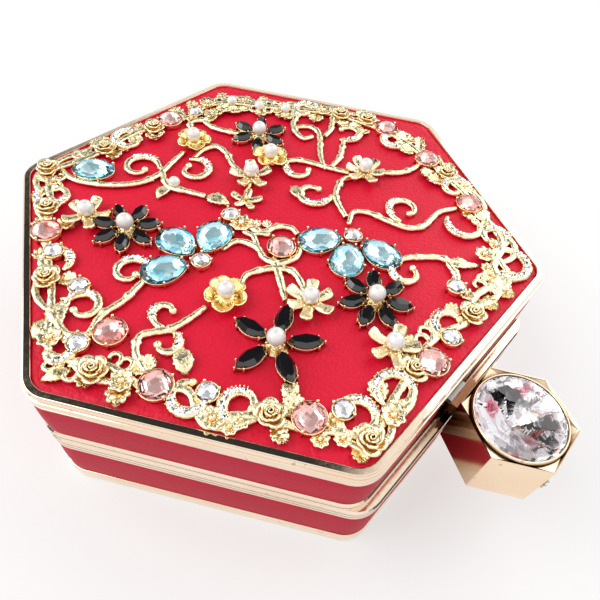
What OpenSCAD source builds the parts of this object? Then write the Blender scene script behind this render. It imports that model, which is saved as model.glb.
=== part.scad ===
// Hexagonal evening clutch: two gold-framed leather halves, a hinge at the back, a jewelled knob that
// lifts the latch at the front, and a cast floral garland with stones on the lid.
// The clasp side faces -Y, the hinge side faces +Y, and the case stands on Z = 0.

/* [Case] */
// Half the width across the flats of the gold frames, from the centre to a side
half_flats = 75; // [70:0.5:82]
// Radius of the frames' corners, seen from above
corner_r = 9; // [7.5:0.5:12]
// Height of the lid half, from the plane where it meets the base to the top of its rim
lid_h = 22.4; // [20:0.2:28]
// Height of the base half, up to the plane where the lid meets it
parting_h = 25.6; // [24:0.2:28]
// Gap between the two opening frames when the case is shut
parting_gap = 0.2; // [0.1:0.05:0.4]
// How far the lid's clasp side stands back from the base's
clasp_setback = 2.6; // [2.2:0.1:3.2]

/* [Rims and frames] */
// Height of the gold rims round the top and the bottom
rim_h = 4.7; // [4:0.1:5.6]
// Width of the top rim's flat face
rim_w = 2.6; // [2.4:0.1:3.2]
// Thickness of the rims' flat flanges
rim_t = 1.5; // [1.1:0.1:1.8]
// Thickness of the skirts that cover the leather's edges
skirt_t = 0.95; // [0.8:0.05:1.1]
// Height of the base's opening frame
base_frame_h = 5; // [4:0.1:6]
// Height of the lid's opening frame
lid_frame_h = 3.5; // [3:0.1:4]
// Thickness of the opening frames' flanges
flange_t = 1.5; // [1.3:0.1:1.8]
// Depth of the base frame's inner skirt
inner_skirt_h = 8; // [7:0.1:9]
// Bevel and bead size on the rims' and frames' edges
edge_bevel = 0.45; // [0.3:0.05:0.6]
// Depth and width of the fine groove round each rim and frame
groove = 0.25; // [0.15:0.05:0.35]

/* [Walls] */
// Thickness of the leather on the sides
leather_t = 0.9; // [0.6:0.05:1.1]
// Thickness of the two inner shells
shell_t = 1.5; // [1.2:0.1:1.8]
// Thickness of the fabric lining
lining_t = 0.7; // [0.5:0.05:0.9]
// Thickness of the leather on the lid
panel_t = 0.85; // [0.6:0.05:1.1]
// Glue line between layers that lie on each other
seam = 0.06; // [0.04:0.01:0.1]

/* [Hinge] */
// Length of the hinge along the back
hinge_len = 44; // [36:1:56]
// Radius of the knuckles
knuckle_r = 1.4; // [1.3:0.05:1.45]
// Radius of the hinge pin
hinge_pin_r = 0.7; // [0.6:0.05:0.8]
// Running clearance round the hinge pin and the latch pin
pin_gap = 0.04; // [0.03:0.01:0.06]
// Gap between neighbouring knuckles, and between knuckles and frames
knuckle_gap = 0.2; // [0.15:0.05:0.3]
// How far the hinge's axis lies outside the frames
hinge_out = 0.6; // [0.4:0.1:0.8]
// Thickness of the hinge leaves
leaf_t = 0.8; // [0.6:0.05:0.9]
// Radius of the flush hinge rivets
rivet_r = 0.9; // [0.7:0.05:1]

/* [Clasp knob] */
// Width of the hexagonal knob across its flats
knob_flats = 27.4; // [25.5:0.1:29]
// Height of the knob
knob_h = 18.6; // [16:0.2:20]
// Height of the knob's top above the parting plane
knob_rise = 13.2; // [12:0.1:14]
// Wall of the knob
knob_wall = 1.6; // [1.2:0.1:2]
// Gap between the knob and the base's frame
knob_gap = 0.4; // [0.3:0.05:0.6]
// Diameter of the large pointed crystal at its girdle
crystal_d = 24.6; // [20:0.2:25]
// Height of the crystal's point above its girdle
crystal_rise = 3.6; // [2.5:0.1:4.5]
// Width of the round bezel's ring
bezel_w = 0.8; // [0.6:0.1:1.2]
// Height of the round bezel above the knob
bezel_h = 1.2; // [0.8:0.1:1.6]
// Diameter of the three small stones on the knob's outer face
side_stone_d = 4.2; // [3:0.1:5]

/* [Latch] */
// Distance of the latch's pivot behind the lid's clasp side
pivot_inset = 10.4; // [9.8:0.1:11.5]
// Height of the latch's pivot above the parting plane
pivot_rise = 5.4; // [5:0.1:6]
// Radius of the latch pin
latch_pin_r = 0.8; // [0.7:0.05:0.9]
// Width of the latch lever
lever_w = 8; // [6:0.2:9]
// Thickness of the latch lever
lever_t = 1.8; // [1.4:0.1:2]
// How far the lever may lift the knob, in degrees
latch_lift = 10; // [8:0.5:11]
// Width of the bracket that carries the latch
bracket_w = 14; // [12:0.2:16]
// Thickness of the bracket and the catch plate
plate_t = 1; // [0.8:0.1:1.2]
// Reach of the hook's tooth
tooth = 1.2; // [1:0.1:1.4]
// Wire of the latch spring
wire_d = 0.4; // [0.3:0.05:0.5]
// Outer diameter of the latch spring
spring_d = 2.6; // [2.2:0.1:3]

/* [Ornament] */
// Width of the cast vine stems, as a share of the lid panel's radius
stem_w_share = 0.0276; // [0.022:0.0002:0.032]
// Height of the cast vine stems
stem_h = 1.7; // [1.2:0.1:2.4]
// Height of the stones' metal settings
setting_h = 2.2; // [1.6:0.1:2.8]
// Wall of the stones' metal settings
setting_wall = 0.6; // [0.4:0.05:0.8]
// Clearance of each stone in its setting, and of each setting in the castings
stone_gap = 0.08; // [0.05:0.01:0.12]
// Height of the stones above their settings
crown_h = 1.7; // [1.2:0.1:2.4]
// Length of the blue drop stones, as a share of the lid panel's radius
drop_len_share = 0.18; // [0.16:0.002:0.19]
// Width of the blue drop stones, as a share of the lid panel's radius
drop_w_share = 0.135; // [0.12:0.001:0.138]
// Length of the largest black petals, as a share of the lid panel's radius
petal_len_share = 0.13; // [0.11:0.001:0.138]
// Width of the largest black petals, as a share of the lid panel's radius
petal_w_share = 0.065; // [0.055:0.001:0.07]
// Distance of the black petals' inner points from the flower's centre, as a share of the lid panel's radius
petal_start_share = 0.043; // [0.04:0.001:0.05]
// Diameter of the flowers' pearls, as a share of the lid panel's radius
pearl_d_share = 0.069; // [0.06:0.001:0.076]
// Diameter of the pink stones, as a share of the lid panel's radius
pink_d_share = 0.11; // [0.096:0.001:0.12]
// Diameter of the clear stones, as a share of the lid panel's radius
clear_d_share = 0.069; // [0.058:0.001:0.076]
// Diameter of the tiny stones in the scrolls, as a share of the lid panel's radius
tiny_d_share = 0.025; // [0.02:0.001:0.03]
// Radius of the cast roses, as a share of the lid panel's radius
rose_r_share = 0.047; // [0.04:0.001:0.054]
// Radius of the cast daisies, as a share of the lid panel's radius
daisy_r_share = 0.0415; // [0.035:0.0005:0.048]
// Length of the shortest cast leaves, as a share of the lid panel's radius
leaf_len_share = 0.069; // [0.056:0.001:0.08]
// Radius of the five-finger flowers, as a share of the lid panel's radius
finger_r_share = 0.094; // [0.084:0.001:0.1]
// Radius of the cup flowers, as a share of the lid panel's radius
cup_r_share = 0.088; // [0.078:0.001:0.096]

/* [Hidden] */
$fn = 64;

gold = "gold";
red = "crimson";
lining_red = "maroon";
steel = "silver";

// One overrun serves all cuts
cut = 1;
sides = 6;
turn = 360 / sides;
arc_steps = 7;

// Layers from the outside in, as insets from the frames' outer face
band_in = skirt_t + seam;
shell_in = band_in + leather_t + seam;
lining_in = shell_in + shell_t + seam;
inner_skirt_in = lining_in + lining_t + seam;
inner_skirt_t = skirt_t;
inner_face_in = inner_skirt_in + inner_skirt_t;
rim_lap = inner_skirt_in;

// Heights in the base
base_top = parting_h - parting_gap / 2;
base_wall_top = base_top - flange_t - seam;
bottom_rim_t = rim_t * 2 / 3;
base_floor_z = bottom_rim_t + seam;
base_lining_z = base_floor_z + shell_t + seam;

// Heights in the lid
lid_bottom = parting_h + parting_gap / 2;
lid_wall_z = lid_bottom + flange_t + seam;
case_h = parting_h + lid_h;
panel_z = case_h - rim_t;
panel_top = panel_z + panel_t;
lid_wall_top = panel_z - seam;
lid_lining_top = lid_wall_top - shell_t - seam;
panel_r = half_flats - rim_w;

// Sizes of the ornament
stem_w = stem_w_share * panel_r;
drop_len = drop_len_share * panel_r;
drop_w = drop_w_share * panel_r;
petal_len = petal_len_share * panel_r;
petal_w = petal_w_share * panel_r;
petal_start = petal_start_share * panel_r;
pearl_d = pearl_d_share * panel_r;
pink_d = pink_d_share * panel_r;
clear_d = clear_d_share * panel_r;
tiny_d = tiny_d_share * panel_r;
rose_r = rose_r_share * panel_r;
daisy_r = daisy_r_share * panel_r;
leaf_len = leaf_len_share * panel_r;
finger_r = finger_r_share * panel_r;
cup_r = cup_r_share * panel_r;

// Hinge
hinge_y = half_flats + hinge_out;
leaf_in = inner_skirt_in;
leaf_y = half_flats - leaf_in;
leaf_gap = seam;
knuckles = 5;
knuckle_len = (hinge_len - (knuckles - 1) * knuckle_gap) / knuckles;
knuckle_clear_y = hinge_y - knuckle_r - knuckle_gap;

// Latch
lid_clasp_y = -(half_flats - clasp_setback);
pivot_y = lid_clasp_y + pivot_inset;
pivot_z = parting_h + pivot_rise;
knob_face_y = -(half_flats + knob_gap);
knob_y = knob_face_y - knob_flats / 2;
neck_out = (lid_clasp_y - knob_face_y) * 0.8;
neck_h = (pivot_z - lid_bottom) * 0.96;
knob_top = parting_h + knob_rise;
knob_z = knob_top - knob_h;
barrel_r = latch_pin_r + lever_t * 0.7;
lever_top = pivot_z + lever_t / 2;
slot_w = lever_w + 2 * plate_t;
slot_clear = 0.4;
slot_z0 = pivot_z - lever_t / 2 - slot_clear;
arm_rise = (knob_face_y - pivot_y) * -sin(latch_lift);
slot_z1 = lever_top + arm_rise + slot_clear;
back_y = lid_clasp_y + lining_in + lining_t + seam;
bracket_z0 = pivot_z - barrel_r - plate_t;
bracket_z1 = pivot_z + (lid_lining_top - lining_t - pivot_z) * 0.63;
ear_y1 = pivot_y + barrel_r;
ear_gap = 0.15;
ear_x = lever_w / 2 + ear_gap;
bracket_rivet_x = (spring_d / 2 + ear_x) / 2;
bracket_rivet_z = (slot_z1 + bracket_z1) / 2;
hook_w = lever_w * 0.75;
hook_t = plate_t * 1.4;
hook_y = pivot_y - hook_t / 2;
catch_top = base_top - flange_t;
catch_z = catch_top - plate_t * 1.2;
hook_gap = 0.3;
hook_z = catch_z - hook_gap - tooth;
tooth_lap = tooth * 0.6;
catch_slot_y1 = hook_y + hook_t + tooth - tooth_lap;
hook_swing = (pivot_z - hook_z) * sin(latch_lift);
catch_slot_y0 = hook_y - hook_swing - hook_gap;
catch_back_y = -(half_flats - inner_face_in) + seam;
catch_y1 = catch_slot_y1 + plate_t * 3;
catch_foot_z = base_top - inner_skirt_h;
catch_rivet_z = (catch_foot_z + catch_z) / 2;
catch_rivet_x = bracket_w * 0.36;
stud_r = lever_t * 0.4;
spring_y = (pivot_y - barrel_r + back_y + plate_t) / 2;

// Outline of the case at an inset: round-cornered hexagon whose clasp side may stand back
function side_angle(i) = -90 + turn * i;
function side_dist(i, setback) = half_flats - (i % sides == 0 ? setback : 0);
function corner_at(i, setback) =
  let (a = side_angle(i), b = side_angle(i + 1),
       da = side_dist(i, setback) - corner_r, db = side_dist(i + 1, setback) - corner_r)
  [(da * sin(b) - db * sin(a)) / sin(turn), (db * cos(a) - da * cos(b)) / sin(turn)];
function outline(inset, setback) = [
  for (i = [0:sides - 1], k = [0:arc_steps])
    let (a = side_angle(i) + turn * k / arc_steps)
    corner_at(i, setback) + (corner_r - inset) * [cos(a), sin(a)]];

// Plate or block with the case's outline between two heights
module slab(inset, setback, z0, z1) {
  translate([0, 0, z0]) linear_extrude(z1 - z0) polygon(outline(inset, setback));
}

// Wall between two insets
module wall(inset, thick, setback, z0, z1) {
  difference() {
    slab(inset, setback, z0, z1);
    slab(inset + thick, setback, z0 - cut, z1 + cut);
  }
}

// Slab whose outer edges are bevelled
module bevelled(setback, z0, z1) {
  e = edge_bevel;
  hull() {
    slab(e, setback, z0, z1);
    slab(0, setback, z0 + e, z1 - e);
  }
}

// Fine groove round an outer face
module groove_cut(setback, z) {
  difference() {
    slab(-cut, setback, z - groove / 2, z + groove / 2);
    slab(groove, setback, z - groove, z + groove);
  }
}

// Block centred on X = 0
module block(w, y0, y1, z0, z1) {
  translate([-w / 2, y0, z0]) cube([w, y1 - y0, z1 - z0]);
}

// Rod along X, centred on X = 0
module rod_x(r, len, y, z) {
  translate([-len / 2, y, z]) rotate([0, 90, 0]) cylinder(r = r, h = len);
}

// Rod along Y from y0 to y1
module rod_y(r, x, z, y0, y1) {
  translate([x, y1, z]) rotate([90, 0, 0]) cylinder(r = r, h = y1 - y0);
}

// BASE HALF

module base_shell() {
  color(red) difference() {
    slab(shell_in, 0, base_floor_z, base_wall_top);
    slab(shell_in + shell_t, 0, base_floor_z + shell_t, base_wall_top + cut);
  }
}

module base_side_band() {
  color(red) wall(band_in, leather_t, 0, base_floor_z, base_wall_top);
}

module base_lining() {
  color(lining_red) difference() {
    slab(lining_in, 0, base_lining_z, base_wall_top);
    slab(lining_in + lining_t, 0, base_lining_z + lining_t, base_wall_top + cut);
  }
}

module base_panel() {
  color(red) slab(rim_lap + seam, 0, 0, bottom_rim_t);
}

module base_rim() {
  color(gold) difference() {
    bevelled(0, 0, rim_h);
    slab(skirt_t, 0, bottom_rim_t, rim_h + cut);
    slab(rim_lap, 0, -cut, rim_h);
    groove_cut(0, rim_h * 0.7);
  }
}

module base_frame() {
  z0 = base_top - base_frame_h;
  color(gold) difference() {
    union() {
      difference() {
        bevelled(0, z0, base_top);
        slab(skirt_t, 0, z0 - cut, base_top - flange_t);
      }
      slab(inner_skirt_in, 0, base_top - inner_skirt_h, base_top - flange_t / 2);
    }
    slab(inner_face_in, 0, base_top - inner_skirt_h - cut, base_top + cut);
    groove_cut(0, base_top - base_frame_h * 0.36);
    groove_cut(0, base_top - base_frame_h * 0.68);
    hinge_recess(base_top - leaf_t - leaf_gap, base_top + cut);
    hinge_rivet_holes(base_top - flange_t - cut, base_top + cut, seam / 2);
    catch_rivet_cut(seam / 2);
  }
}

// Room for the hinge leaf and the knuckles in a frame
module hinge_recess(z0, z1) {
  w = hinge_len + 2 * knuckle_gap;
  block(w, leaf_y - leaf_gap, half_flats + cut, z0, z1);
  block(w, knuckle_clear_y, half_flats + cut, parting_h - knuckle_r - knuckle_gap,
    parting_h + knuckle_r + knuckle_gap);
}

function hinge_rivet_x() = [for (k = [-1.5:1:1.5]) k * hinge_len / 4];
hinge_rivet_y = (leaf_y + knuckle_clear_y) / 2;

module hinge_rivet_holes(z0, z1, gap) {
  for (x = hinge_rivet_x())
    translate([x, hinge_rivet_y, z0]) cylinder(r = rivet_r + gap, h = z1 - z0);
}

module catch_rivet_cut(gap) {
  for (x = [-catch_rivet_x, catch_rivet_x])
    rod_y(rivet_r + gap, x, catch_rivet_z, -half_flats + inner_skirt_in - cut, catch_slot_y0);
}

module catch_plate() {
  w = bracket_w;
  color(steel) difference() {
    union() {
      block(w, catch_back_y, catch_back_y + plate_t, catch_foot_z, catch_top);
      block(w, catch_back_y, catch_y1, catch_z, catch_top);
    }
    block(hook_w + 2 * hook_gap, catch_slot_y0, catch_slot_y1, catch_z - cut, catch_top + cut);
    catch_rivet_cut(seam / 2);
  }
}

module catch_rivets() {
  y0 = -half_flats + inner_skirt_in + seam;
  y1 = catch_back_y + plate_t + seam;
  color(steel) for (x = [-catch_rivet_x, catch_rivet_x]) union() {
    rod_y(rivet_r, x, catch_rivet_z, y0, y1 + seam);
    rod_y(rivet_r * 1.6, x, catch_rivet_z, y1, y1 + rivet_r * 0.6);
  }
}

// HINGE

function knuckle_x(i) = -hinge_len / 2 + i * (knuckle_len + knuckle_gap);

module hinge_leaf(first, z0, z1) {
  difference() {
    union() {
      block(hinge_len, leaf_y, knuckle_clear_y, z0, z1);
      for (i = [first:2:knuckles - 1]) {
        translate([knuckle_x(i), knuckle_clear_y - cut, z0])
          cube([knuckle_len, hinge_out + half_flats - knuckle_clear_y + cut, z1 - z0]);
        translate([knuckle_x(i), hinge_y, parting_h]) rotate([0, 90, 0])
          cylinder(r = knuckle_r, h = knuckle_len);
      }
    }
    rod_x(hinge_pin_r + pin_gap, hinge_len + 2 * cut, hinge_y, parting_h);
    hinge_rivet_holes(z0 - cut, z1 + cut, seam / 2);
  }
}

module hinge_base_leaf() {
  color(gold) hinge_leaf(0, base_top - leaf_t, base_top);
}

module hinge_lid_leaf() {
  color(gold) hinge_leaf(1, lid_bottom, lid_bottom + leaf_t);
}

module hinge_pin() {
  color(steel) rod_x(hinge_pin_r, hinge_len, hinge_y, parting_h);
}

module hinge_base_rivets() {
  color(gold) hinge_rivet_holes(base_top - flange_t, base_top, 0);
}

module hinge_lid_rivets() {
  color(gold) hinge_rivet_holes(lid_bottom, lid_bottom + flange_t, 0);
}

// LID HALF

// Window in the lid's clasp side that the lever's arm passes through
module arm_slot() {
  block(slot_w, lid_clasp_y - cut, back_y + cut, slot_z0, slot_z1);
}

module bracket_rivet_cut(gap) {
  for (x = [-bracket_rivet_x, bracket_rivet_x])
    rod_y(rivet_r + gap, x, bracket_rivet_z, lid_clasp_y + shell_in - cut, pivot_y);
}

module lid_shell() {
  color(red) difference() {
    slab(shell_in, clasp_setback, lid_wall_z, lid_wall_top);
    slab(shell_in + shell_t, clasp_setback, lid_wall_z - cut, lid_wall_top - shell_t);
    arm_slot();
    bracket_rivet_cut(seam / 2);
  }
}

module lid_side_band() {
  color(red) difference() {
    wall(band_in, leather_t, clasp_setback, lid_wall_z, lid_wall_top);
    arm_slot();
  }
}

module lid_lining() {
  color(lining_red) difference() {
    slab(lining_in, clasp_setback, lid_wall_z, lid_lining_top);
    slab(lining_in + lining_t, clasp_setback, lid_wall_z - cut, lid_lining_top - lining_t);
    arm_slot();
    bracket_rivet_cut(seam / 2);
  }
}

module lid_panel() {
  color(red) slab(rim_w + seam, clasp_setback, panel_z, panel_top);
}

module lid_rim() {
  color(gold) difference() {
    bevelled(clasp_setback, case_h - rim_h, case_h);
    slab(skirt_t, clasp_setback, case_h - rim_h - cut, panel_z);
    slab(rim_w, clasp_setback, case_h - rim_h, case_h + cut);
    groove_cut(clasp_setback, case_h - rim_h * 0.3);
    groove_cut(clasp_setback, case_h - rim_h * 0.72);
  }
}

module lid_frame() {
  z1 = lid_bottom + lid_frame_h;
  color(gold) difference() {
    bevelled(clasp_setback, lid_bottom, z1);
    difference() {
      slab(skirt_t, clasp_setback, lid_bottom + flange_t, z1 + cut);
      slab(inner_skirt_in, clasp_setback, lid_bottom, z1 + cut);
    }
    slab(inner_face_in, clasp_setback, lid_bottom - cut, z1 + cut);
    groove_cut(clasp_setback, lid_bottom + lid_frame_h / 2);
    hinge_recess(lid_bottom - cut, lid_bottom + leaf_t + leaf_gap);
    hinge_rivet_holes(lid_bottom - cut, lid_bottom + flange_t + cut, seam / 2);
  }
}

// LATCH

// Gold plate round the arm's slot, on the leather
module slot_plate() {
  face_y = lid_clasp_y + band_in - seam;
  color(gold) difference() {
    block(bracket_w, face_y - plate_t / 2, face_y, lid_bottom + lid_frame_h + seam,
      slot_z1 + plate_t);
    block(slot_w, face_y - cut, face_y + cut, 0, slot_z1);
  }
}

// Bent plate whose two ears hold the latch pin, clear of the lid's frame
module latch_bracket() {
  w = bracket_w;
  foot_y = lid_clasp_y + inner_face_in + seam;
  foot_z = lid_bottom + lid_frame_h + seam;
  color(steel) difference() {
    union() {
      block(w, back_y, back_y + plate_t, foot_z, bracket_z1);
      block(w, back_y, ear_y1, bracket_z1 - plate_t, bracket_z1);
      for (m = [0, 1]) mirror([m, 0, 0]) {
        translate([ear_x, back_y, foot_z]) cube([plate_t, ear_y1 - back_y, bracket_z1 - foot_z]);
        translate([ear_x, foot_y, bracket_z0]) cube([plate_t, ear_y1 - foot_y, bracket_z1 - bracket_z0]);
      }
    }
    block(lever_w + 2 * slot_clear, back_y - cut, back_y + plate_t + seam, 0, slot_z1);
    rod_x(latch_pin_r + seam / 3, w + 2 * cut, pivot_y, pivot_z);
    bracket_rivet_cut(seam / 2);
  }
}

module bracket_rivets() {
  y0 = lid_clasp_y + shell_in;
  y1 = back_y + plate_t + seam;
  color(steel) for (x = [-bracket_rivet_x, bracket_rivet_x]) union() {
    rod_y(rivet_r, x, bracket_rivet_z, y0, y1 + seam);
    rod_y(rivet_r * 1.4, x, bracket_rivet_z, y1, y1 + rivet_r * 0.6);
  }
}

module latch_pin() {
  color(steel) rod_x(latch_pin_r, 2 * (ear_x + plate_t) + plate_t, pivot_y, pivot_z);
}

module latch_lever() {
  z0 = pivot_z - lever_t / 2;
  color(steel) difference() {
    union() {
      rod_x(barrel_r, lever_w, pivot_y, pivot_z);
      block(lever_w, knob_face_y, pivot_y, z0, lever_top);
      block(hook_w, hook_y, hook_y + hook_t, hook_z, pivot_z);
      block(hook_w, hook_y, hook_y + hook_t + tooth, hook_z, hook_z + tooth);
    }
    rod_x(latch_pin_r + pin_gap, lever_w + 2 * cut, pivot_y, pivot_z);
    rod_y(stud_r + seam / 2, 0, pivot_z, knob_face_y - cut, knob_face_y + stud_r * 6);
  }
}

// Screw from inside the knob into the lever's arm
module knob_screw() {
  head_y = knob_face_y - knob_wall;
  color(steel) union() {
    rod_y(stud_r, 0, pivot_z, head_y - cut, knob_face_y + stud_r * 5);
    rod_y(stud_r * 2.4, 0, pivot_z, head_y - cut - seam, head_y - seam);
  }
}

// One unbroken coil between the lever's arm and the bracket's top
module latch_spring() {
  coils = 5;
  steps = 8;
  ring = 6;
  count = coils * steps;
  r = (spring_d - wire_d) / 2;
  z0 = lever_top + wire_d / 2 + seam;
  z1 = bracket_z1 - plate_t - wire_d / 2 - seam;
  pts = [for (i = [0:count], k = [0:ring - 1])
    let (a = 360 * i / steps, b = 360 * k / ring, d = r + wire_d / 2 * cos(b))
    [d * cos(a), spring_y + d * sin(a), z0 + (z1 - z0) * i / count + wire_d / 2 * sin(b)]];
  color(steel) polyhedron(points = pts, faces = tube_faces(count, ring));
}

function tube_faces(count, ring) = concat(
  [[for (k = [0:ring - 1]) k]],
  [for (i = [0:count - 1], k = [0:ring - 1])
    [i * ring + k, (i + 1) * ring + k, (i + 1) * ring + (k + 1) % ring, i * ring + (k + 1) % ring]],
  [[for (k = [ring - 1:-1:0]) count * ring + k]]);

// KNOB

module hexagon_prism(flats, z0, z1) {
  translate([0, knob_y, z0]) cylinder(r = flats / sqrt(3), h = z1 - z0, $fn = 6);
}

seat_z = knob_top - knob_wall;
crystal_r = min(crystal_d / 2, knob_flats / 2 - bezel_w - seam);
bezel_r = crystal_r + bezel_w;

module knob_body() {
  color(gold) difference() {
    hexagon_prism(knob_flats, knob_z, knob_top);
    hexagon_prism(knob_flats - 2 * knob_wall, knob_z + knob_wall, seat_z - knob_wall);
    translate([0, knob_y, seat_z - knob_wall - cut])
      cylinder(r = crystal_r - knob_wall, h = knob_wall + 2 * cut);
    translate([0, knob_y, seat_z]) cylinder(r = crystal_r + stone_gap, h = knob_wall + cut);
    rod_y(stud_r + seam / 2, 0, pivot_z, knob_face_y - knob_wall - cut, knob_face_y + cut);
    for (x = side_stone_x()) rod_y(side_stone_d / 4 + seam / 2, x, side_stone_z,
      side_face_y - cut, side_face_y + side_peg);
  }
}

// Ridged collar between the knob and the case, round the lever's arm
module knob_neck() {
  h = neck_h / 2;
  w = slot_w + plate_t;
  ridge = (neck_out - seam) / 5;
  y0 = knob_face_y;
  color(gold) difference() {
    union() {
      block(w, y0, y0 + neck_out - seam, pivot_z - h + ridge, pivot_z + h - ridge);
      for (k = [0, 2, 4])
        block(w + ridge, y0 + k * ridge, y0 + (k + 1) * ridge, pivot_z - h, pivot_z + h);
    }
    block(lever_w + 2 * seam, y0 - cut, y0 + neck_out + cut, pivot_z - lever_t / 2 - seam,
      lever_top + seam);
  }
}

module knob_bezel() {
  e = bezel_w / 4;
  color(gold) translate([0, knob_y, knob_top]) rotate_extrude()
    polygon([[crystal_r + stone_gap, 0], [bezel_r, 0], [bezel_r, bezel_h - 2 * e],
      [bezel_r - e, bezel_h], [crystal_r + stone_gap + e, bezel_h],
      [crystal_r + stone_gap, bezel_h - e]]);
}

// Pointed crystal: long facets rise from the girdle to one point
module knob_crystal() {
  facets = 16;
  girdle = knob_top + bezel_h * 0.6;
  r = crystal_r;
  a = 360 / facets;
  rings = [[r * 0.8, seat_z + seam], [r, seat_z + knob_wall], [r, girdle],
    [r * 0.93, girdle + crystal_rise * 0.2]];
  pts = concat([for (q = rings, k = [0:facets - 1]) [q[0] * cos(a * k), q[0] * sin(a * k), q[1]]],
    [[0, 0, girdle + crystal_rise]]);
  n = len(rings);
  sides_up = [for (j = [0:n - 2], k = [0:facets - 1]) let (low = j * facets, high = low + facets)
    [low + k, high + k, high + (k + 1) % facets, low + (k + 1) % facets]];
  last = (n - 1) * facets;
  point_faces = [for (k = [0:facets - 1]) [last + k, last + facets, last + (k + 1) % facets]];
  faces = concat([[for (k = [0:facets - 1]) k]], sides_up, point_faces);
  color("lightcyan") translate([0, knob_y, 0]) polyhedron(points = pts, faces = faces);
}

side_face_y = knob_y - knob_flats / 2;
side_peg = knob_wall / 2;
side_stone_z = (knob_top + knob_z) / 2;
function side_stone_x() = [for (k = [-1:1]) k * side_stone_d * 1.15];

module knob_side_settings() {
  color(gold) for (x = side_stone_x()) difference() {
    union() {
      rod_y(side_stone_d / 2, x, side_stone_z, side_face_y - side_peg, side_face_y);
      rod_y(side_stone_d / 4, x, side_stone_z, side_face_y - side_peg / 2, side_face_y + side_peg - seam);
    }
    rod_y(side_stone_d * 0.4, x, side_stone_z, side_face_y - cut, side_face_y - side_peg / 2);
  }
}

module knob_side_stones() {
  r = side_stone_d * 0.4 - stone_gap / 2;
  color("lightcyan") for (x = side_stone_x())
    translate([x, side_face_y - side_peg / 2 - seam / 4, side_stone_z]) rotate([90, 0, 0])
      round_stone(r, side_peg * 0.6, side_peg * 0.7, 8);
}

// ORNAMENT
// Places are shares of the distance from the panel's centre to its side

function at(p) = [p[0] * panel_r, p[1] * panel_r];

// Flowers of black stones: place, number of petals, direction of one petal, length of the petals
black_flower_shares = [
  [-0.50, 0.39, 7, -33, 0.74], [-0.47, -0.44, 5, 100, 1], [-0.05, -0.57, 7, 41, 0.78],
  [0.38, 0.50, 6, 100, 0.74]];
// Blue drops round a clear stone: its place, then the drops' directions
blue_cluster_shares = [[-0.40, 0.04, [155, 91, 29]], [0.16, -0.29, [147, 209, 271]]];
// Blue oval: place, direction of its long axis
blue_oval_shares = [[-0.38, 0.80, -53]];
pink_shares = [
  [-0.85, 0.00], [-0.87, -0.28], [-0.60, -0.72], [-0.13, -0.89], [-0.11, -0.125],
  [0.73, -0.53], [0.87, -0.20], [0.93, 0.10], [-0.74, 0.59], [0.13, 0.89]];
clear_shares = [
  [-0.40, 0.04], [0.16, -0.29], [-0.81, 0.25], [-0.78, 0.47], [-0.955, 0.035], [-0.50, -0.78],
  [0.24, -0.76], [0.01, -0.88], [-0.77, -0.42], [0.27, 0.86], [-0.13, 0.16]];
// Cup flowers: place
cup_flower_shares = [[-0.45, -0.16], [0.10, 0.67], [0.29, 0.33]];
// Five-finger flowers: place, direction of one finger
finger_flower_shares = [
  [0.12, 0.29, 49], [-0.57, 0.56, -48], [-0.24, -0.40, 35], [-0.18, -0.75, 19], [0.55, -0.05, 0]];
// Small pearls: place
small_pearl_shares = [[-0.17, 0.49], [0.49, 0.82], [0.57, 0.69], [0.66, 0.58]];
small_pearl_share = 0.76;

// Roses: place, turn
rose_shares = [
  [-0.98, -0.09, 10], [-0.68, -0.62, 40], [-0.52, -0.91, 0], [-0.20, -0.86, 20], [0.17, -0.88, 0],
  [0.85, -0.33, 30], [0.92, 0.22, 0], [0.85, 0.35, 20], [0.03, 0.89, 0], [-0.25, 0.90, 30],
  [-0.52, 0.94, 10], [-0.66, 0.71, 40], [-0.87, 0.37, 0]];
daisy_shares = [
  [-1.01, 0.12], [-0.94, -0.19], [-0.82, -0.50], [-0.40, -0.91], [0.49, -0.75], [0.38, 0.89], [0.80, 0.43]];
// Leaves: place, direction, length beside the rose's radius
leaf_shares = [
  [-1.03, -0.03, 160, 1.2], [-0.77, -0.31, 60, 1.5], [-0.87, -0.39, 240, 1.2], [-0.60, -0.63, 40, 1.3],
  [-0.76, -0.70, 220, 1.3], [-0.66, -0.77, 240, 1.2], [-0.19, -0.94, 200, 1.5], [0.33, -0.87, 0, 1.4],
  [0.43, -0.86, 320, 1.3], [0.69, -0.65, 60, 1.6], [0.935, -0.03, 92, 1.7], [-0.60, 0.84, 140, 1.5],
  [-0.57, 0.87, 80, 1.3], [-0.92, 0.25, 250, 1.5], [-0.97, 0.21, 210, 1.2], [-0.12, 0.33, 290, 1.5],
  [-0.20, 0.50, 200, 1.2], [0.22, 0.12, 250, 1.4], [0.35, -0.66, 300, 1.3], [0.27, 0.77, 20, 1.3]];
// Curls: centre, first radius, last radius, first direction, sweep
curl_shares = [
  [-0.21, 0.69, 0.09, 0.035, -45, 320], [-0.04, 0.51, 0.085, 0.035, 60, -330],
  [0.34, 0.18, 0.075, 0.04, 100, 200], [0.755, 0.22, 0.075, 0.04, 190, 270],
  [0.25, 0.02, 0.085, 0.04, -50, -310], [0.48, -0.34, 0.085, 0.035, 200, -310],
  [0.60, -0.59, 0.085, 0.06, 100, 270], [0.165, -0.57, 0.07, 0.035, 80, 270],
  [-0.63, 0.19, 0.08, 0.03, -50, 330], [-0.85, 0.165, 0.07, 0.035, 130, -320],
  [-0.66, -0.06, 0.05, 0.03, 190, -220], [-0.74, -0.17, 0.05, 0.03, 20, -230]];
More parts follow.
